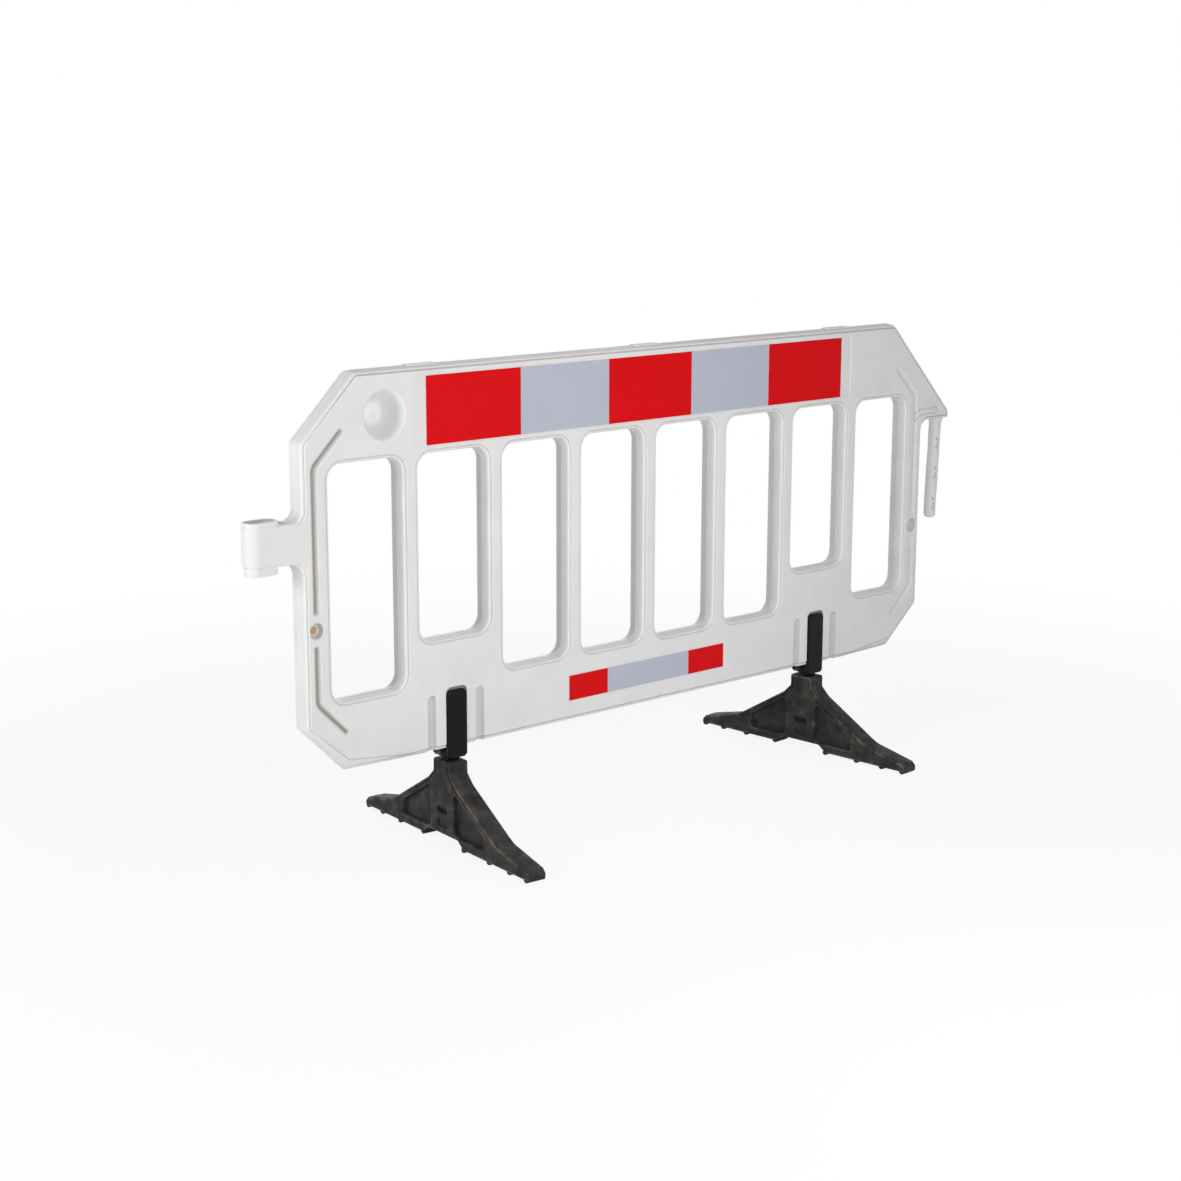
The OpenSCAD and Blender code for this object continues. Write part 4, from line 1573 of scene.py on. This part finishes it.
@dataclass
class CouplingSocket:
    """The block at the left end with a long upright opening, its standing rim and the collar below.

    Attributes are sizes in millimetres; places come from the frame.
    """

    round_end: float = 22.9
    end_steps: int = 37
    reach: float = 97.0
    tail_round: float = 3.0
    edge: RoundEdge = RoundEdge(5.0, 7.0)
    drawn_in: float = 2.5
    collar_high: float = 10.5
    rim_set: float = 0.6
    long_rim: float = 73.5
    rim_half: float = 22.2
    rim_rise: float = 6.0
    rim_root: float = 10.0
    rim_edge: RoundEdge = RoundEdge(1.6, 1.6)
    rim_draft: float = 0.2
    collar_half: float = 19.8
    collar_drop: float = 2.0
    collar_root: float = 8.0
    opening_half: float = 16.8
    opening_gap: float = 0.2
    opening_rings: tuple[float, ...] = (1.0,)
    # The opening's rounded lip is painted darker.
    lip_darkening: float = 0.6

    def __post_init__(self) -> None:
        """Reads the socket's place from the frame."""
        low, high = box_mm("coupling_socket")
        self.left = low[0]
        self.top = high[2]
        self.floor = low[2] + self.collar_high

    def long_loop(self, half: float) -> np.ndarray:
        """A round-ended loop about the opening's middle line, of the given half width."""
        gap = self.rim_half - half
        return stadium(self.left + self.rim_set + gap, self.left + self.long_rim - gap, 0.0, half)

    def lip_depth(self, away: np.ndarray) -> np.ndarray:
        """Depth of a ring's rounded inner edge."""
        return quarter_round(away, self.rim_edge.width, self.rim_edge.depth)

    def ring(self, half: float, low: float, high: float) -> Skin:
        """Makes a round-ended ring round the opening.

        Args:
            half: half its width.
            low: level of its underside.
            high: level of its top.

        Returns:
            The closed skin.
        """
        rings = self.rim_edge.rings()
        lip = Press(self.long_loop(self.opening_half), self.lip_depth, rings, self.lip_darkening)
        plate = Plate(self.long_loop(half), self.rim_edge, rings, (high - low) / 2, [lip],
                      draft=self.rim_draft)
        return plate.skin(lying((high + low) / 2))

    def block(self) -> np.ndarray:
        """Outlines the block from above: a round end and a square tail inside the board.

        Returns:
            The outline's points, anticlockwise.
        """
        x = self.left + self.round_end
        turn = np.linspace(math.pi / 2, 3 * math.pi / 2, self.end_steps)
        bow = np.stack((x + self.round_end * np.cos(turn), self.round_end * np.sin(turn)), axis=1)
        far = self.left + self.reach
        tail = rounded_polygon([(x, -self.round_end, 0), (far, -self.round_end, self.tail_round),
                                (far, self.round_end, self.tail_round), (x, self.round_end, 0)], closed=False)
        return np.vstack((bow, tail[1:-1]))

    def build(self, palette: Palette) -> None:
        """Makes the socket and hands it over.

        Args:
            palette: the finishes.
        """
        top = self.top - self.drawn_in
        floor = self.floor + self.drawn_in
        hole = Press(self.long_loop(self.opening_half + self.opening_gap), np.zeros_like, self.opening_rings)
        block = Plate(self.block(), self.edge, self.edge.rings(), (top - floor) / 2, [hole], draft=0.0)
        rim = self.ring(self.rim_half, top - self.rim_root, self.top + self.rim_rise)
        collar = self.ring(self.collar_half, self.floor - self.collar_high - self.collar_drop,
                           floor + self.collar_root)
        skin = block.skin(lying((top + floor) / 2)).plus(rim).plus(collar)
        palette.hand_over(skin.build("socket_block"), "panel_plastic", "panel", "coupling_socket")


@dataclass
class HangingPin:
    """The leaning coupling pin under the nose: a filleted root, a round tip and chipped dents on one side.

    Attributes are sizes in millimetres and degrees; places come from the frame. Each dent has its distance
    down the pin, its angle round the pin in radians and its slant in degrees.
    """

    radius: float = 14.5
    root: float = 18.0
    root_long: float = 12.0
    root_rows: tuple[float, ...] = (-4.0, 0.0, 1.5, 3.0, 5.0, 7.0, 9.5)
    row_step: float = 1.6
    length: float = 244.0
    lean: float = 2.5
    reach: float = 74.0
    nose_reach: float = 100.0
    tip: float = 9.0
    tip_rows: int = 9
    tip_blunt: float = 0.02
    columns: int = 96
    dent_deep: float = 3.2
    dents: tuple[tuple[float, float, float], ...] = (
        (49, 1.82, 35), (60, 1.66, 80), (69, 1.86, -35), (120, 1.82, 40), (136, 1.7, 75), (143, 1.9, -30),
        (196, 1.88, 35), (209, 1.72, 80), (218, 1.9, -35))
    dent_long: float = 7.5
    dent_wide: float = 3.4
    # The dents are painted darker.
    dent_darkening: float = 0.8
    ripple: float = 0.12
    ripple_waves: tuple[int, ...] = (2, 3, 5)
    ripple_shift: tuple[float, float] = (0.0, 6.0)
    ripple_long: tuple[float, float] = (9.0, 26.0)

    def rows(self) -> np.ndarray:
        """Lays out the rings of points down the pin.

        Returns:
            The rings' distances from the nose.
        """
        start = self.length - self.tip
        shaft = np.arange(self.root_long, start, self.row_step)
        turn = np.linspace(0, math.pi / 2, self.tip_rows)[:-1]
        return np.concatenate((self.root_rows, shaft, start + self.tip * np.sin(turn)))

    def dented(self, down: np.ndarray, turn: np.ndarray) -> np.ndarray:
        """Finds the chipped dents.

        Args:
            down: distance down the pin from the nose.
            turn: angle round the pin.

        Returns:
            How deep in a dent each place is, from 0 to 1.
        """
        depth = np.zeros(len(turn))
        for place, aside, slant in self.dents:
            way = math.radians(slant)
            across = (turn + aside) * self.radius
            along = across * math.cos(way) + (down - place) * math.sin(way)
            beside = (down - place) * math.cos(way) - across * math.sin(way)
            off = np.hypot(along / self.dent_long, beside / self.dent_wide)
            depth = np.maximum(depth, bump(off, 0.0, 1.0))
        return depth

    def shape(self, down: np.ndarray, turn: np.ndarray) -> np.ndarray:
        """Gives the radius of the pin's skin.

        Args:
            down: distance down the pin from the nose.
            turn: angle round the pin, 0 towards the free end of the panel.

        Returns:
            The radius at each place.
        """
        flare = (self.root - self.radius) * (1 - smooth(0, self.root_long, down)) ** 2
        end = np.clip((down - self.length + self.tip) / self.tip, 0, 1)
        size = (self.radius + flare) * np.sqrt(np.maximum(self.tip_blunt, 1 - end * end))
        size = size - self.dent_deep * self.dented(down, turn)
        seed = np.random.default_rng(DENT_SEED)
        for wave in self.ripple_waves:
            shift = seed.uniform(*self.ripple_shift)
            size = size + self.ripple * np.sin(wave * turn + shift + down / seed.uniform(*self.ripple_long))
        return np.minimum(size, self.root)

    def build(self, palette: Palette) -> None:
        """Makes the pin and hands it over.

        Args:
            palette: the finishes.
        """
        high = box_mm("panel_shell")[1]
        root = np.array((high[0] - self.nose_reach + self.reach, 0.0, box_mm("coupling_pin")[1][2]))
        lean = math.radians(self.lean)
        axis = np.array((-math.sin(lean), 0.0, -math.cos(lean)))
        side = np.array((math.cos(lean), 0.0, -math.sin(lean)))
        turn = np.arange(self.columns) * 2 * math.pi / self.columns
        turn = (turn + math.pi) % (2 * math.pi) - math.pi
        rings = []
        grime_and_shading = []
        for down in self.rows():
            level = np.full(self.columns, down)
            size = self.shape(level, turn)
            ring = root + down * axis + np.cos(turn)[:, None] * size[:, None] * side
            ring[:, 1] += np.sin(turn) * size
            rings.append(ring)
            grime_and_shading.append(self.dent_darkening * self.dented(level, turn))
        skin = tube(np.array(rings), np.concatenate(grime_and_shading))
        palette.hand_over(skin.build("hanging_pin"), "panel_plastic", "panel", "coupling_pin")


@dataclass
class FootClip:
    """A gloss black clip: a round-topped leg on each face, the base under the panel and the swivel spigot.

    Attributes:
        end: the end of the panel that it is on.

    The others are sizes in millimetres; places come from the frame.
    """

    end: End
    leg_thick: float = 9.0
    leg_draft: float = 0.2
    top_round: float = 13.0
    top_drop: float = 4.0
    base_high: float = 21.0
    corner_cut: float = 6.0
    corner_round: float = 4.0
    edge: RoundEdge = RoundEdge(3.6, 3.6)
    flat_rings: tuple[float, ...] = (2.0, 5.0)
    web_gap: float = 0.3
    web_round: float = 3.0
    web_rings: tuple[float, ...] = (2.0,)
    collar: float = 19.0
    collar_high: float = 7.0
    collar_bevel: float = 0.6
    collar_root: float = 2.0
    spigot: float = 13.0
    spigot_long: float = 76.0
    spigot_bevel: float = 1.0
    spigot_neck: float = 0.4

    def build(self, palette: Palette) -> None:
        """Makes the clip and hands it over.

        Args:
            palette: the finishes.
        """
        node = f"clip_{self.end.value}"
        low, high = box_mm(node)
        base = low[2] + self.spigot_long + self.collar_high
        skin = self.swivel((low[0] + high[0]) / 2, low[2], base)
        leg = self.loop(low, high, base, 0.0, self.corner_round, high[2] - self.top_drop, self.top_round)
        rings = self.edge.rings() + [self.edge.width + r for r in self.flat_rings]
        for sign in (-1, 1):
            plate = Plate(leg, self.edge, rings, self.leg_thick / 2, draft=self.leg_draft)
            shift = np.array((0.0, sign * (high[1] - self.leg_thick / 2), 0.0))
            skin = skin.plus(plate.skin(lambda p: p + shift))
        web = self.loop(low, high, base, self.web_gap, self.web_round, base + self.base_high, 0.0)
        middle = Plate(web, square_edge, self.web_rings, high[1] - self.leg_thick + self.web_gap, draft=0.0)
        skin = skin.plus(middle.skin(straight))
        palette.hand_over(skin.build(f"foot_clip_{self.end.value}"), "clip_plastic", "panel", node)

    def swivel(self, x: float, low: float, base: float) -> Skin:
        """Turns the spigot and its collar.

        Args:
            x: the swivel's place along the panel.
            low: the level of the spigot's end.
            base: the level of the clip's underside.

        Returns:
            The closed skin.
        """
        step = base - self.collar_high
        return lathe([
            (self.spigot - self.spigot_bevel, low), (self.spigot, low + self.spigot_bevel),
            (self.spigot, step - self.spigot_neck), (self.collar - self.collar_bevel, step),
            (self.collar, step + self.collar_bevel), (self.collar, base + self.collar_root)], x, 0.0)

    def loop(self, low: np.ndarray, high: np.ndarray, base: float, gap: float, bend: float, top: float,
             top_bend: float) -> np.ndarray:
        """Outlines a leg, or the web between the legs, with cut lower corners.

        Args:
            low: the lowest corner of the clip's box.
            high: the highest corner of the clip's box.
            base: the level of the clip's underside.
            gap: how far the outline stays inside the clip's own.
            bend: the radius of the lower corners.
            top: the level of its top.
            top_bend: the radius of the upper corners.

        Returns:
            The outline's points, anticlockwise.
        """
        cut = self.corner_cut
        left = low[0] + gap
        right = high[0] - gap
        return rounded_polygon([
            (low[0] + cut, base + gap, bend), (high[0] - cut, base + gap, bend), (right, base + cut, bend),
            (right, top, top_bend), (left, top, top_bend), (left, base + cut, bend)])


@dataclass
class SwivelFoot:
    """A pressed rubber foot: neck, sloping flanks, flat toes, side pockets, column slots and sole bars.

    Attributes:
        end: the end of the panel that it is under.
        turn: how far it is turned about the swivel, in degrees.

    The others are sizes in millimetres, apart from counts, angles and shares of wear and painted light.
    A corner has its distance from the swivel, its level and its bend radius. Places come from the frame.
    """

    end: End
    turn: float
    wide: float = 46.0
    neck_half: float = 31.0
    neck_top: float = 178.0
    neck_round: float = 5.0
    shoulder: tuple[float, float, float] = (31.0, 151.0, 9.0)
    hip: tuple[float, float, float] = (52.0, 131.0, 26.0)
    flank: tuple[float, float, float] = (177.0, 57.0, 40.0)
    instep: tuple[float, float, float] = (197.0, 46.0, 40.0)
    toe: tuple[float, float, float] = (296.0, 24.0, 8.0)
    tip: tuple[float, float, float] = (305.0, 15.0, 5.0)
    sole: float = 5.0
    sole_round: float = 3.0
    arch_end: float = 76.0
    arch_round: float = 4.0
    arch: tuple[float, float, float] = (56.0, 20.0, 8.0)
    edge: RoundEdge = RoundEdge(4.5, 4.5)
    flat_ring: float = 3.0
    draft: float = 0.6
    # Wear and painted highlight along the rounded edges.
    edge_wear_and_highlight: float = 0.9
    # Dusting and painted light from above on walls that face up.
    top_dust_and_light: float = 0.12
    pocket_near: float = 42.0
    pocket_reach: float = 152.0
    pocket_floor: float = 24.0
    pocket_cut: tuple[float, float] = (20.0, 7.0)
    pocket_bends: tuple[float, ...] = (6.0, 8.0, 7.0, 8.0, 9.0)
    pocket_rim: float = 13.0
    pocket_form: Sink = Sink(11.0, -2.4, 0.5)
    pocket_rings: tuple[float, ...] = (2.6, 1.4, 0.5, -0.2, -0.9, -1.6, -2.4, -3.6)
    # Dusting and painted highlight along the pockets' rims.
    pocket_rim_dust_and_highlight: Hump = Hump(0.8, 0.8, 2.2)
    column_half: float = 24.0
    column_ends: tuple[float, float] = (29.0, 146.0)
    column_round: float = 5.0
    column_form: Sink = Sink(1.2, -2.2, 0.4)
    column_rings: tuple[float, ...] = (1.0, 0.4, -0.8, -2.2, -3.0)
    crease: tuple[tuple[float, float, float], ...] = (
        (23, 162, 0), (26, 149, 14), (50, 124, 24), (97, 96, 0))
    crease_half: float = 2.6
    crease_form: Sink = Sink(3.2, -2.2, 0.6)
    crease_rings: tuple[float, ...] = (1.0, 0.3, -0.7, -1.6)
    # Painted shade in the crease on each side.
    foot_crease_shade: Sink = Sink(-0.8, -1.8, 0.0)
    slot_half: float = 18.5
    slot_round: float = 4.0
    slots: tuple[tuple[float, float, Sink], ...] = (
        (34.5, 50.5, Sink(4.2, -1.4, 0.4)), (64.5, 77.5, Sink(4.6, -1.4, 0.4)))
    slot_rings: tuple[float, ...] = (0.4, -0.4, -1.4, -2.2)
    # Painted shade deep in the column's slots.
    slot_shade: Sink = Sink(-1.0, -1.6, -0.2)
    bars: tuple[float, ...] = (76.0, 167.0, 239.0, 297.0)
    bar_long: float = 14.0
    bar_wide: float = 42.0
    bar_sides: int = 24
    bar_sink: float = 0.4
    bar_lift: float = 0.01
    bar_sharp: float = 40.0
    bore: float = 13.05
    bolt_hole: float = 5.5
    well: float = 16.0
    ledge: tuple[float, float] = (89.7, 101.7)
    drill_past: float = 20.0
    drill_sharp: float = 38.0

    def __post_init__(self) -> None:
        """Reads the swivel's place from the frame."""
        low, high = box_mm(f"clip_{self.end.value}")
        self.x = (low[0] + high[0]) / 2

    def place(self, points: np.ndarray) -> np.ndarray:
        """Puts the foot in its place, turned about the swivel.

        Args:
            points: rows of (along, across, up) on the foot.

        Returns:
            The same points in the frame.
        """
        a = math.radians(self.turn)
        along = -points[:, 0]
        across = points[:, 1]
        return np.stack((self.x + across * math.cos(a) - along * math.sin(a),
                         across * math.sin(a) + along * math.cos(a), points[:, 2]), axis=1)

    def outline(self) -> np.ndarray:
        """Outlines the foot from the side.

        Returns:
            The outline's points, anticlockwise.
        """
        half = [self.arch, (self.arch_end, self.sole, self.arch_round),
                (self.tip[0], self.sole, self.sole_round), self.tip, self.toe, self.instep, self.flank,
                self.hip, self.shoulder, (self.neck_half, self.neck_top, self.neck_round)]
        return rounded_polygon(half + [(-x, z, r) for x, z, r in half[::-1]])

    def pocket_edge(self, x: float) -> float:
        """Level of a pocket's upper edge, which runs along the flank."""
        slope = (self.hip[1] - self.flank[1]) / (self.hip[0] - self.flank[0])
        return self.flank[1] + slope * (x - self.flank[0]) - self.pocket_rim * math.hypot(1, slope)

    def pocket(self, sign: int) -> np.ndarray:
        """Outlines one side pocket.

        Args:
            sign: 1 for the pocket on one side of the swivel and -1 for the other.

        Returns:
            The outline's points, anticlockwise.
        """
        near = self.pocket_near
        far = self.pocket_reach
        run, rise = self.pocket_cut
        places = ((near, self.pocket_floor + rise), (near + run, self.pocket_floor), (far, self.pocket_floor),
                  (far, self.pocket_edge(far)), (near, self.pocket_edge(near)))
        loop = rounded_polygon([(*place, bend) for place, bend in zip(places, self.pocket_bends)])
        return loop if sign > 0 else (loop * (-1, 1))[::-1]

    def presses(self) -> list[Press]:
        """Collects the forms pressed into each side.

        Returns:
            The pockets, the column between them, the creases and the column's slots.
        """
        forms = [Press(self.pocket(sign), self.pocket_form, self.pocket_rings, tint=self.pocket_rim_dust_and_highlight)
                 for sign in (-1, 1)]
        low, high = self.column_ends
        column = rounded_rectangle(-self.column_half, low, self.column_half, high, self.column_round)
        forms.append(Press(column, self.column_form, self.column_rings))
        for sign in (-1, 1):
            path = [(sign * x, z, r) for x, z, r in self.crease]
            forms.append(Press(bent_strip(path, self.crease_half), self.crease_form, self.crease_rings,
                               tint=self.foot_crease_shade))
        for low, high, form in self.slots:
            loop = rounded_rectangle(-self.slot_half, low, self.slot_half, high, self.slot_round)
            forms.append(Press(loop, form, self.slot_rings, tint=self.slot_shade))
        return forms

    def drill(self, thing: bpy.types.Object) -> None:
        """Cuts the swivel bore, the bolt hole and the well out of the foot.

        Args:
            thing: the foot's object, whose mesh is replaced.
        """
        low, high = self.ledge
        cutter = lathe([(self.well, -self.drill_past), (self.well, low), (self.bolt_hole, low),
                        (self.bolt_hole, high), (self.bore, high),
                        (self.bore, self.neck_top + self.drill_past)], self.x, 0.0).build("drill")
        modifier = thing.modifiers.new("drill", "BOOLEAN")
        modifier.operation = "DIFFERENCE"
        modifier.solver = "EXACT"
        modifier.object = cutter
        settle(thing, modifier, self.drill_sharp)
        bpy.data.objects.remove(cutter)

    def build_bars(self, palette: Palette) -> None:
        """Sets the half-round bars under the sole and hands them over.

        Args:
            palette: the finishes.
        """
        name = f"sole_bars_{self.end.value}"
        recipe = NodeRecipe(name)
        size = recipe.take("Bar Size", "NodeSocketVector")
        turn = recipe.take("Bar Turn", "NodeSocketFloat")
        rod = add_node(recipe.tree, "GeometryNodeMeshCylinder",
                       {"Vertices": self.bar_sides, "Radius": 1.0, "Depth": 1.0})
        laid = add_node(recipe.tree, "GeometryNodeTransform", {"Geometry": rod.outputs["Mesh"], "Scale": size,
                                                               "Rotation": (0.0, math.pi / 2, 0.0)})
        angle = add_node(recipe.tree, "ShaderNodeCombineXYZ", {"Z": turn})
        way = add_node(recipe.tree, "FunctionNodeEulerToRotation", {"Euler": angle.outputs["Vector"]})
        set_out = add_node(recipe.tree, "GeometryNodeInstanceOnPoints", {
            "Points": recipe.entry.outputs["Geometry"], "Instance": laid.outputs["Geometry"],
            "Rotation": way.outputs["Rotation"]})
        recipe.close(set_out.outputs["Instances"])
        radius = self.sole + self.bar_sink
        spots = np.array([(s * b, 0.0, radius + self.bar_lift) for b in self.bars for s in (-1, 1)])
        values = {"Finish": palette.made["foot_rubber"], "Bar Turn": math.radians(self.turn),
                  "Bar Size": (radius * MM, self.bar_long / 2 * MM, self.bar_wide * MM)}
        thing = recipe.grow(name, self.place(spots), [], values, self.bar_sharp)
        palette.hand_over(thing, "foot_rubber", f"{self.end.value}_foot")

    def build(self, palette: Palette) -> None:
        """Makes the foot with its bars and hands them over.

        Args:
            palette: the finishes.
        """
        rings = self.edge.rings() + [self.edge.width + self.flat_ring]
        plate = Plate(self.outline(), self.edge, rings, self.wide / 2, [], self.presses(), self.presses(),
                      self.draft, edge_wear_and_highlight=self.edge_wear_and_highlight, top_dust_and_light=self.top_dust_and_light)
        thing = plate.skin(self.place).build(f"rubber_foot_{self.end.value}")
        self.drill(thing)
        palette.hand_over(thing, "foot_rubber", f"{self.end.value}_foot", f"foot_{self.end.value}")
        self.build_bars(palette)


@dataclass(frozen=True)
class Lamp:
    """A soft rectangular light.

    Attributes:
        name: the light's name.
        place: where it stands, in metres.
        aim: the point that it faces, in metres.
        size: its width and height, in metres.
        watts: its power.
        tint: its colour.
    """

    name: str
    place: tuple[float, float, float]
    aim: tuple[float, float, float]
    size: tuple[float, float]
    watts: float
    tint: tuple[float, float, float] = (1.0, 0.985, 0.95)

    def build(self) -> None:
        """Hangs the light in the scene."""
        data = bpy.data.lights.new(self.name, "AREA")
        data.shape = "RECTANGLE"
        data.size, data.size_y = self.size
        data.energy = self.watts
        data.color = self.tint
        thing = bpy.data.objects.new(self.name, data)
        turn = (Vector(self.aim) - Vector(self.place)).to_track_quat("-Z", "Y").to_matrix().to_4x4()
        thing.matrix_world = Matrix.Translation(self.place) @ turn
        bpy.context.scene.collection.objects.link(thing)


@dataclass
class Studio:
    """The pale floor, soft lights and the camera at the photograph's angle.

    Attributes are metres and degrees, apart from the camera's pixels and millimetres, colours and shares.
    """

    eye: tuple[float, float, float] = (-3.0888, -3.3673, 1.4421)
    look: tuple[float, float, float] = (0.6437, 0.7356, -0.2112)
    roll: float = 0.13
    focal_px: float = 2152.0
    frame_px: float = 1181.0
    sensor_mm: float = 36.0
    sight: float = 100.0
    floor_reach: float = 30.0
    floor_colour: str = "#F4F4F4"
    floor_fade: tuple[float, float] = (1.2, 2.6)
    floor_white: tuple[float, float] = (0.88, 1.0)
    air_tint: tuple[float, float, float, float] = (0.95, 0.95, 1.0, 1.0)
    air_light: float = 0.35
    lamps: tuple[Lamp, ...] = (
        Lamp("key_softbox", (-0.5, -2.2, 1.15), (-0.3, 0.0, 0.55), (1.0, 1.0), 25),
        Lamp("left_strip", (-4.4, -0.3, 1.0), (-0.9, 0.0, 0.6), (0.5, 1.6), 53),
        Lamp("left_softbox", (-2.4, 0.05, 1.2), (-0.9, 0.0, 0.8), (0.3, 0.3), 5),
        Lamp("back_softbox", (1.6, 3.4, 1.4), (0.0, 0.0, 0.5), (2.4, 1.6), 26, (1.0, 1.0, 1.0)))

    def camera(self) -> None:
        """Puts the camera where the photograph was taken from."""
        data = bpy.data.cameras.new("camera")
        data.sensor_fit = "HORIZONTAL"
        data.sensor_width = self.sensor_mm
        data.lens = self.focal_px / self.frame_px * self.sensor_mm
        data.clip_end = self.sight
        thing = bpy.data.objects.new("camera", data)
        turn = Vector(self.look).to_track_quat("-Z", "Y").to_matrix().to_4x4()
        roll = Matrix.Rotation(math.radians(self.roll), 4, "Z")
        thing.matrix_world = Matrix.Translation(self.eye) @ turn @ roll
        bpy.context.scene.collection.objects.link(thing)
        bpy.context.scene.camera = thing

    def seen(self, tree: bpy.types.NodeTree) -> bpy.types.NodeSocket:
        """Tells what is looked at from what gives light.

        Args:
            tree: the tree that gets the nodes.

        Returns:
            A socket with 1 for rays from the eye, a mirror or glass, and 0 for others.
        """
        ray = add_node(tree, "ShaderNodeLightPath").outputs
        direct = add_node(tree, "ShaderNodeMath", {0: ray["Is Camera Ray"], 1: ray["Is Glossy Ray"]},
                          operation="MAXIMUM")
        through = add_node(tree, "ShaderNodeMath", {0: direct.outputs[0], 1: ray["Is Transmission Ray"]},
                           operation="MAXIMUM")
        return through.outputs[0]

    def floor(self) -> None:
        """Lays the pale floor; the camera sees most of it as white, and the shadow stays."""
        mesh = bpy.data.meshes.new("studio_floor")
        far = self.floor_reach
        mesh.from_pydata([(-far, -far, 0), (far, -far, 0), (far, far, 0), (-far, far, 0)], [], [(0, 1, 2, 3)])
        thing = bpy.data.objects.new("studio_floor", mesh)
        bpy.context.scene.collection.objects.link(thing)
        material = bpy.data.materials.new("pale_studio_floor")
        material.use_nodes = True
        tree = material.node_tree
        tree.nodes.remove(tree.nodes["Principled BSDF"])
        matt = add_node(tree, "ShaderNodeBsdfDiffuse", {"Color": srgb(self.floor_colour)})
        glow = add_node(tree, "ShaderNodeEmission", {"Color": (1, 1, 1, 1), "Strength": 1.0})
        place = add_node(tree, "ShaderNodeTexCoord").outputs["Object"]
        away = add_node(tree, "ShaderNodeVectorMath", {0: place}, operation="LENGTH")
        near, far = self.floor_fade
        dim, full = self.floor_white
        fade = add_node(tree, "ShaderNodeMapRange", {"Value": away.outputs["Value"], "From Min": near,
                                                     "From Max": far, "To Min": dim, "To Max": full})
        share = add_node(tree, "ShaderNodeMath", {0: self.seen(tree), 1: fade.outputs["Result"]},
                         operation="MULTIPLY")
        both = add_node(tree, "ShaderNodeMixShader",
                        {0: share.outputs[0], 1: matt.outputs[0], 2: glow.outputs[0]})
        tree.links.new(both.outputs[0], tree.nodes["Material Output"].inputs["Surface"])
        mesh.materials.append(material)

    def world(self) -> None:
        """Sets the surrounding: white to the camera, a soft even grey as light."""
        world = bpy.data.worlds.new("studio")
        bpy.context.scene.world = world
        world.use_nodes = True
        tree = world.node_tree
        back = tree.nodes["Background"]
        fill(tree, back, {"Color": self.air_tint, "Strength": self.air_light})
        white = add_node(tree, "ShaderNodeBackground", {"Color": (1, 1, 1, 1), "Strength": 1.0})
        both = add_node(tree, "ShaderNodeMixShader",
                        {0: self.seen(tree), 1: back.outputs[0], 2: white.outputs[0]})
        tree.links.new(both.outputs[0], tree.nodes["World Output"].inputs["Surface"])

    def build(self) -> None:
        """Builds the whole studio."""
        self.camera()
        self.floor()
        self.world()
        for lamp in self.lamps:
            lamp.build()
        bpy.context.scene.view_settings.view_transform = "Standard"
        LOG.info("studio ready")


def dress_strips(palette: Palette) -> None:
    """Gives every film node its reflective finish; the even ones are silver.

    Args:
        palette: the finishes.
    """
    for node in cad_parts:
        if node.startswith("film_"):
            number = int(node.rsplit("_", 1)[1])
            film = Film.SILVER if number % 2 == 0 else Film.RED
            palette.dress_node(node, film.value)


def main() -> None:
    """Builds the part piece by piece, then the studio."""
    logging.basicConfig(level=logging.INFO, format="%(name)s: %(message)s")
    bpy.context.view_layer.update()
    palette = Palette()
    palette.build()
    PanelBoard().build(palette)
    CouplingSocket().build(palette)
    HangingPin().build(palette)
    dress_strips(palette)
    palette.dress_node("blow_plug", "plug_plastic")
    for end, turn in ((End.LEFT, -FOOT_TURN), (End.RIGHT, FOOT_TURN)):
        FootClip(end).build(palette)
        SwivelFoot(end, turn).build(palette)
        palette.dress_node(f"swivel_bolt_{end.value}", "bolt_steel")
        palette.dress_node(f"swivel_washer_{end.value}", "bolt_steel")
    Studio().build()


if __name__ == "__main__":
    main()
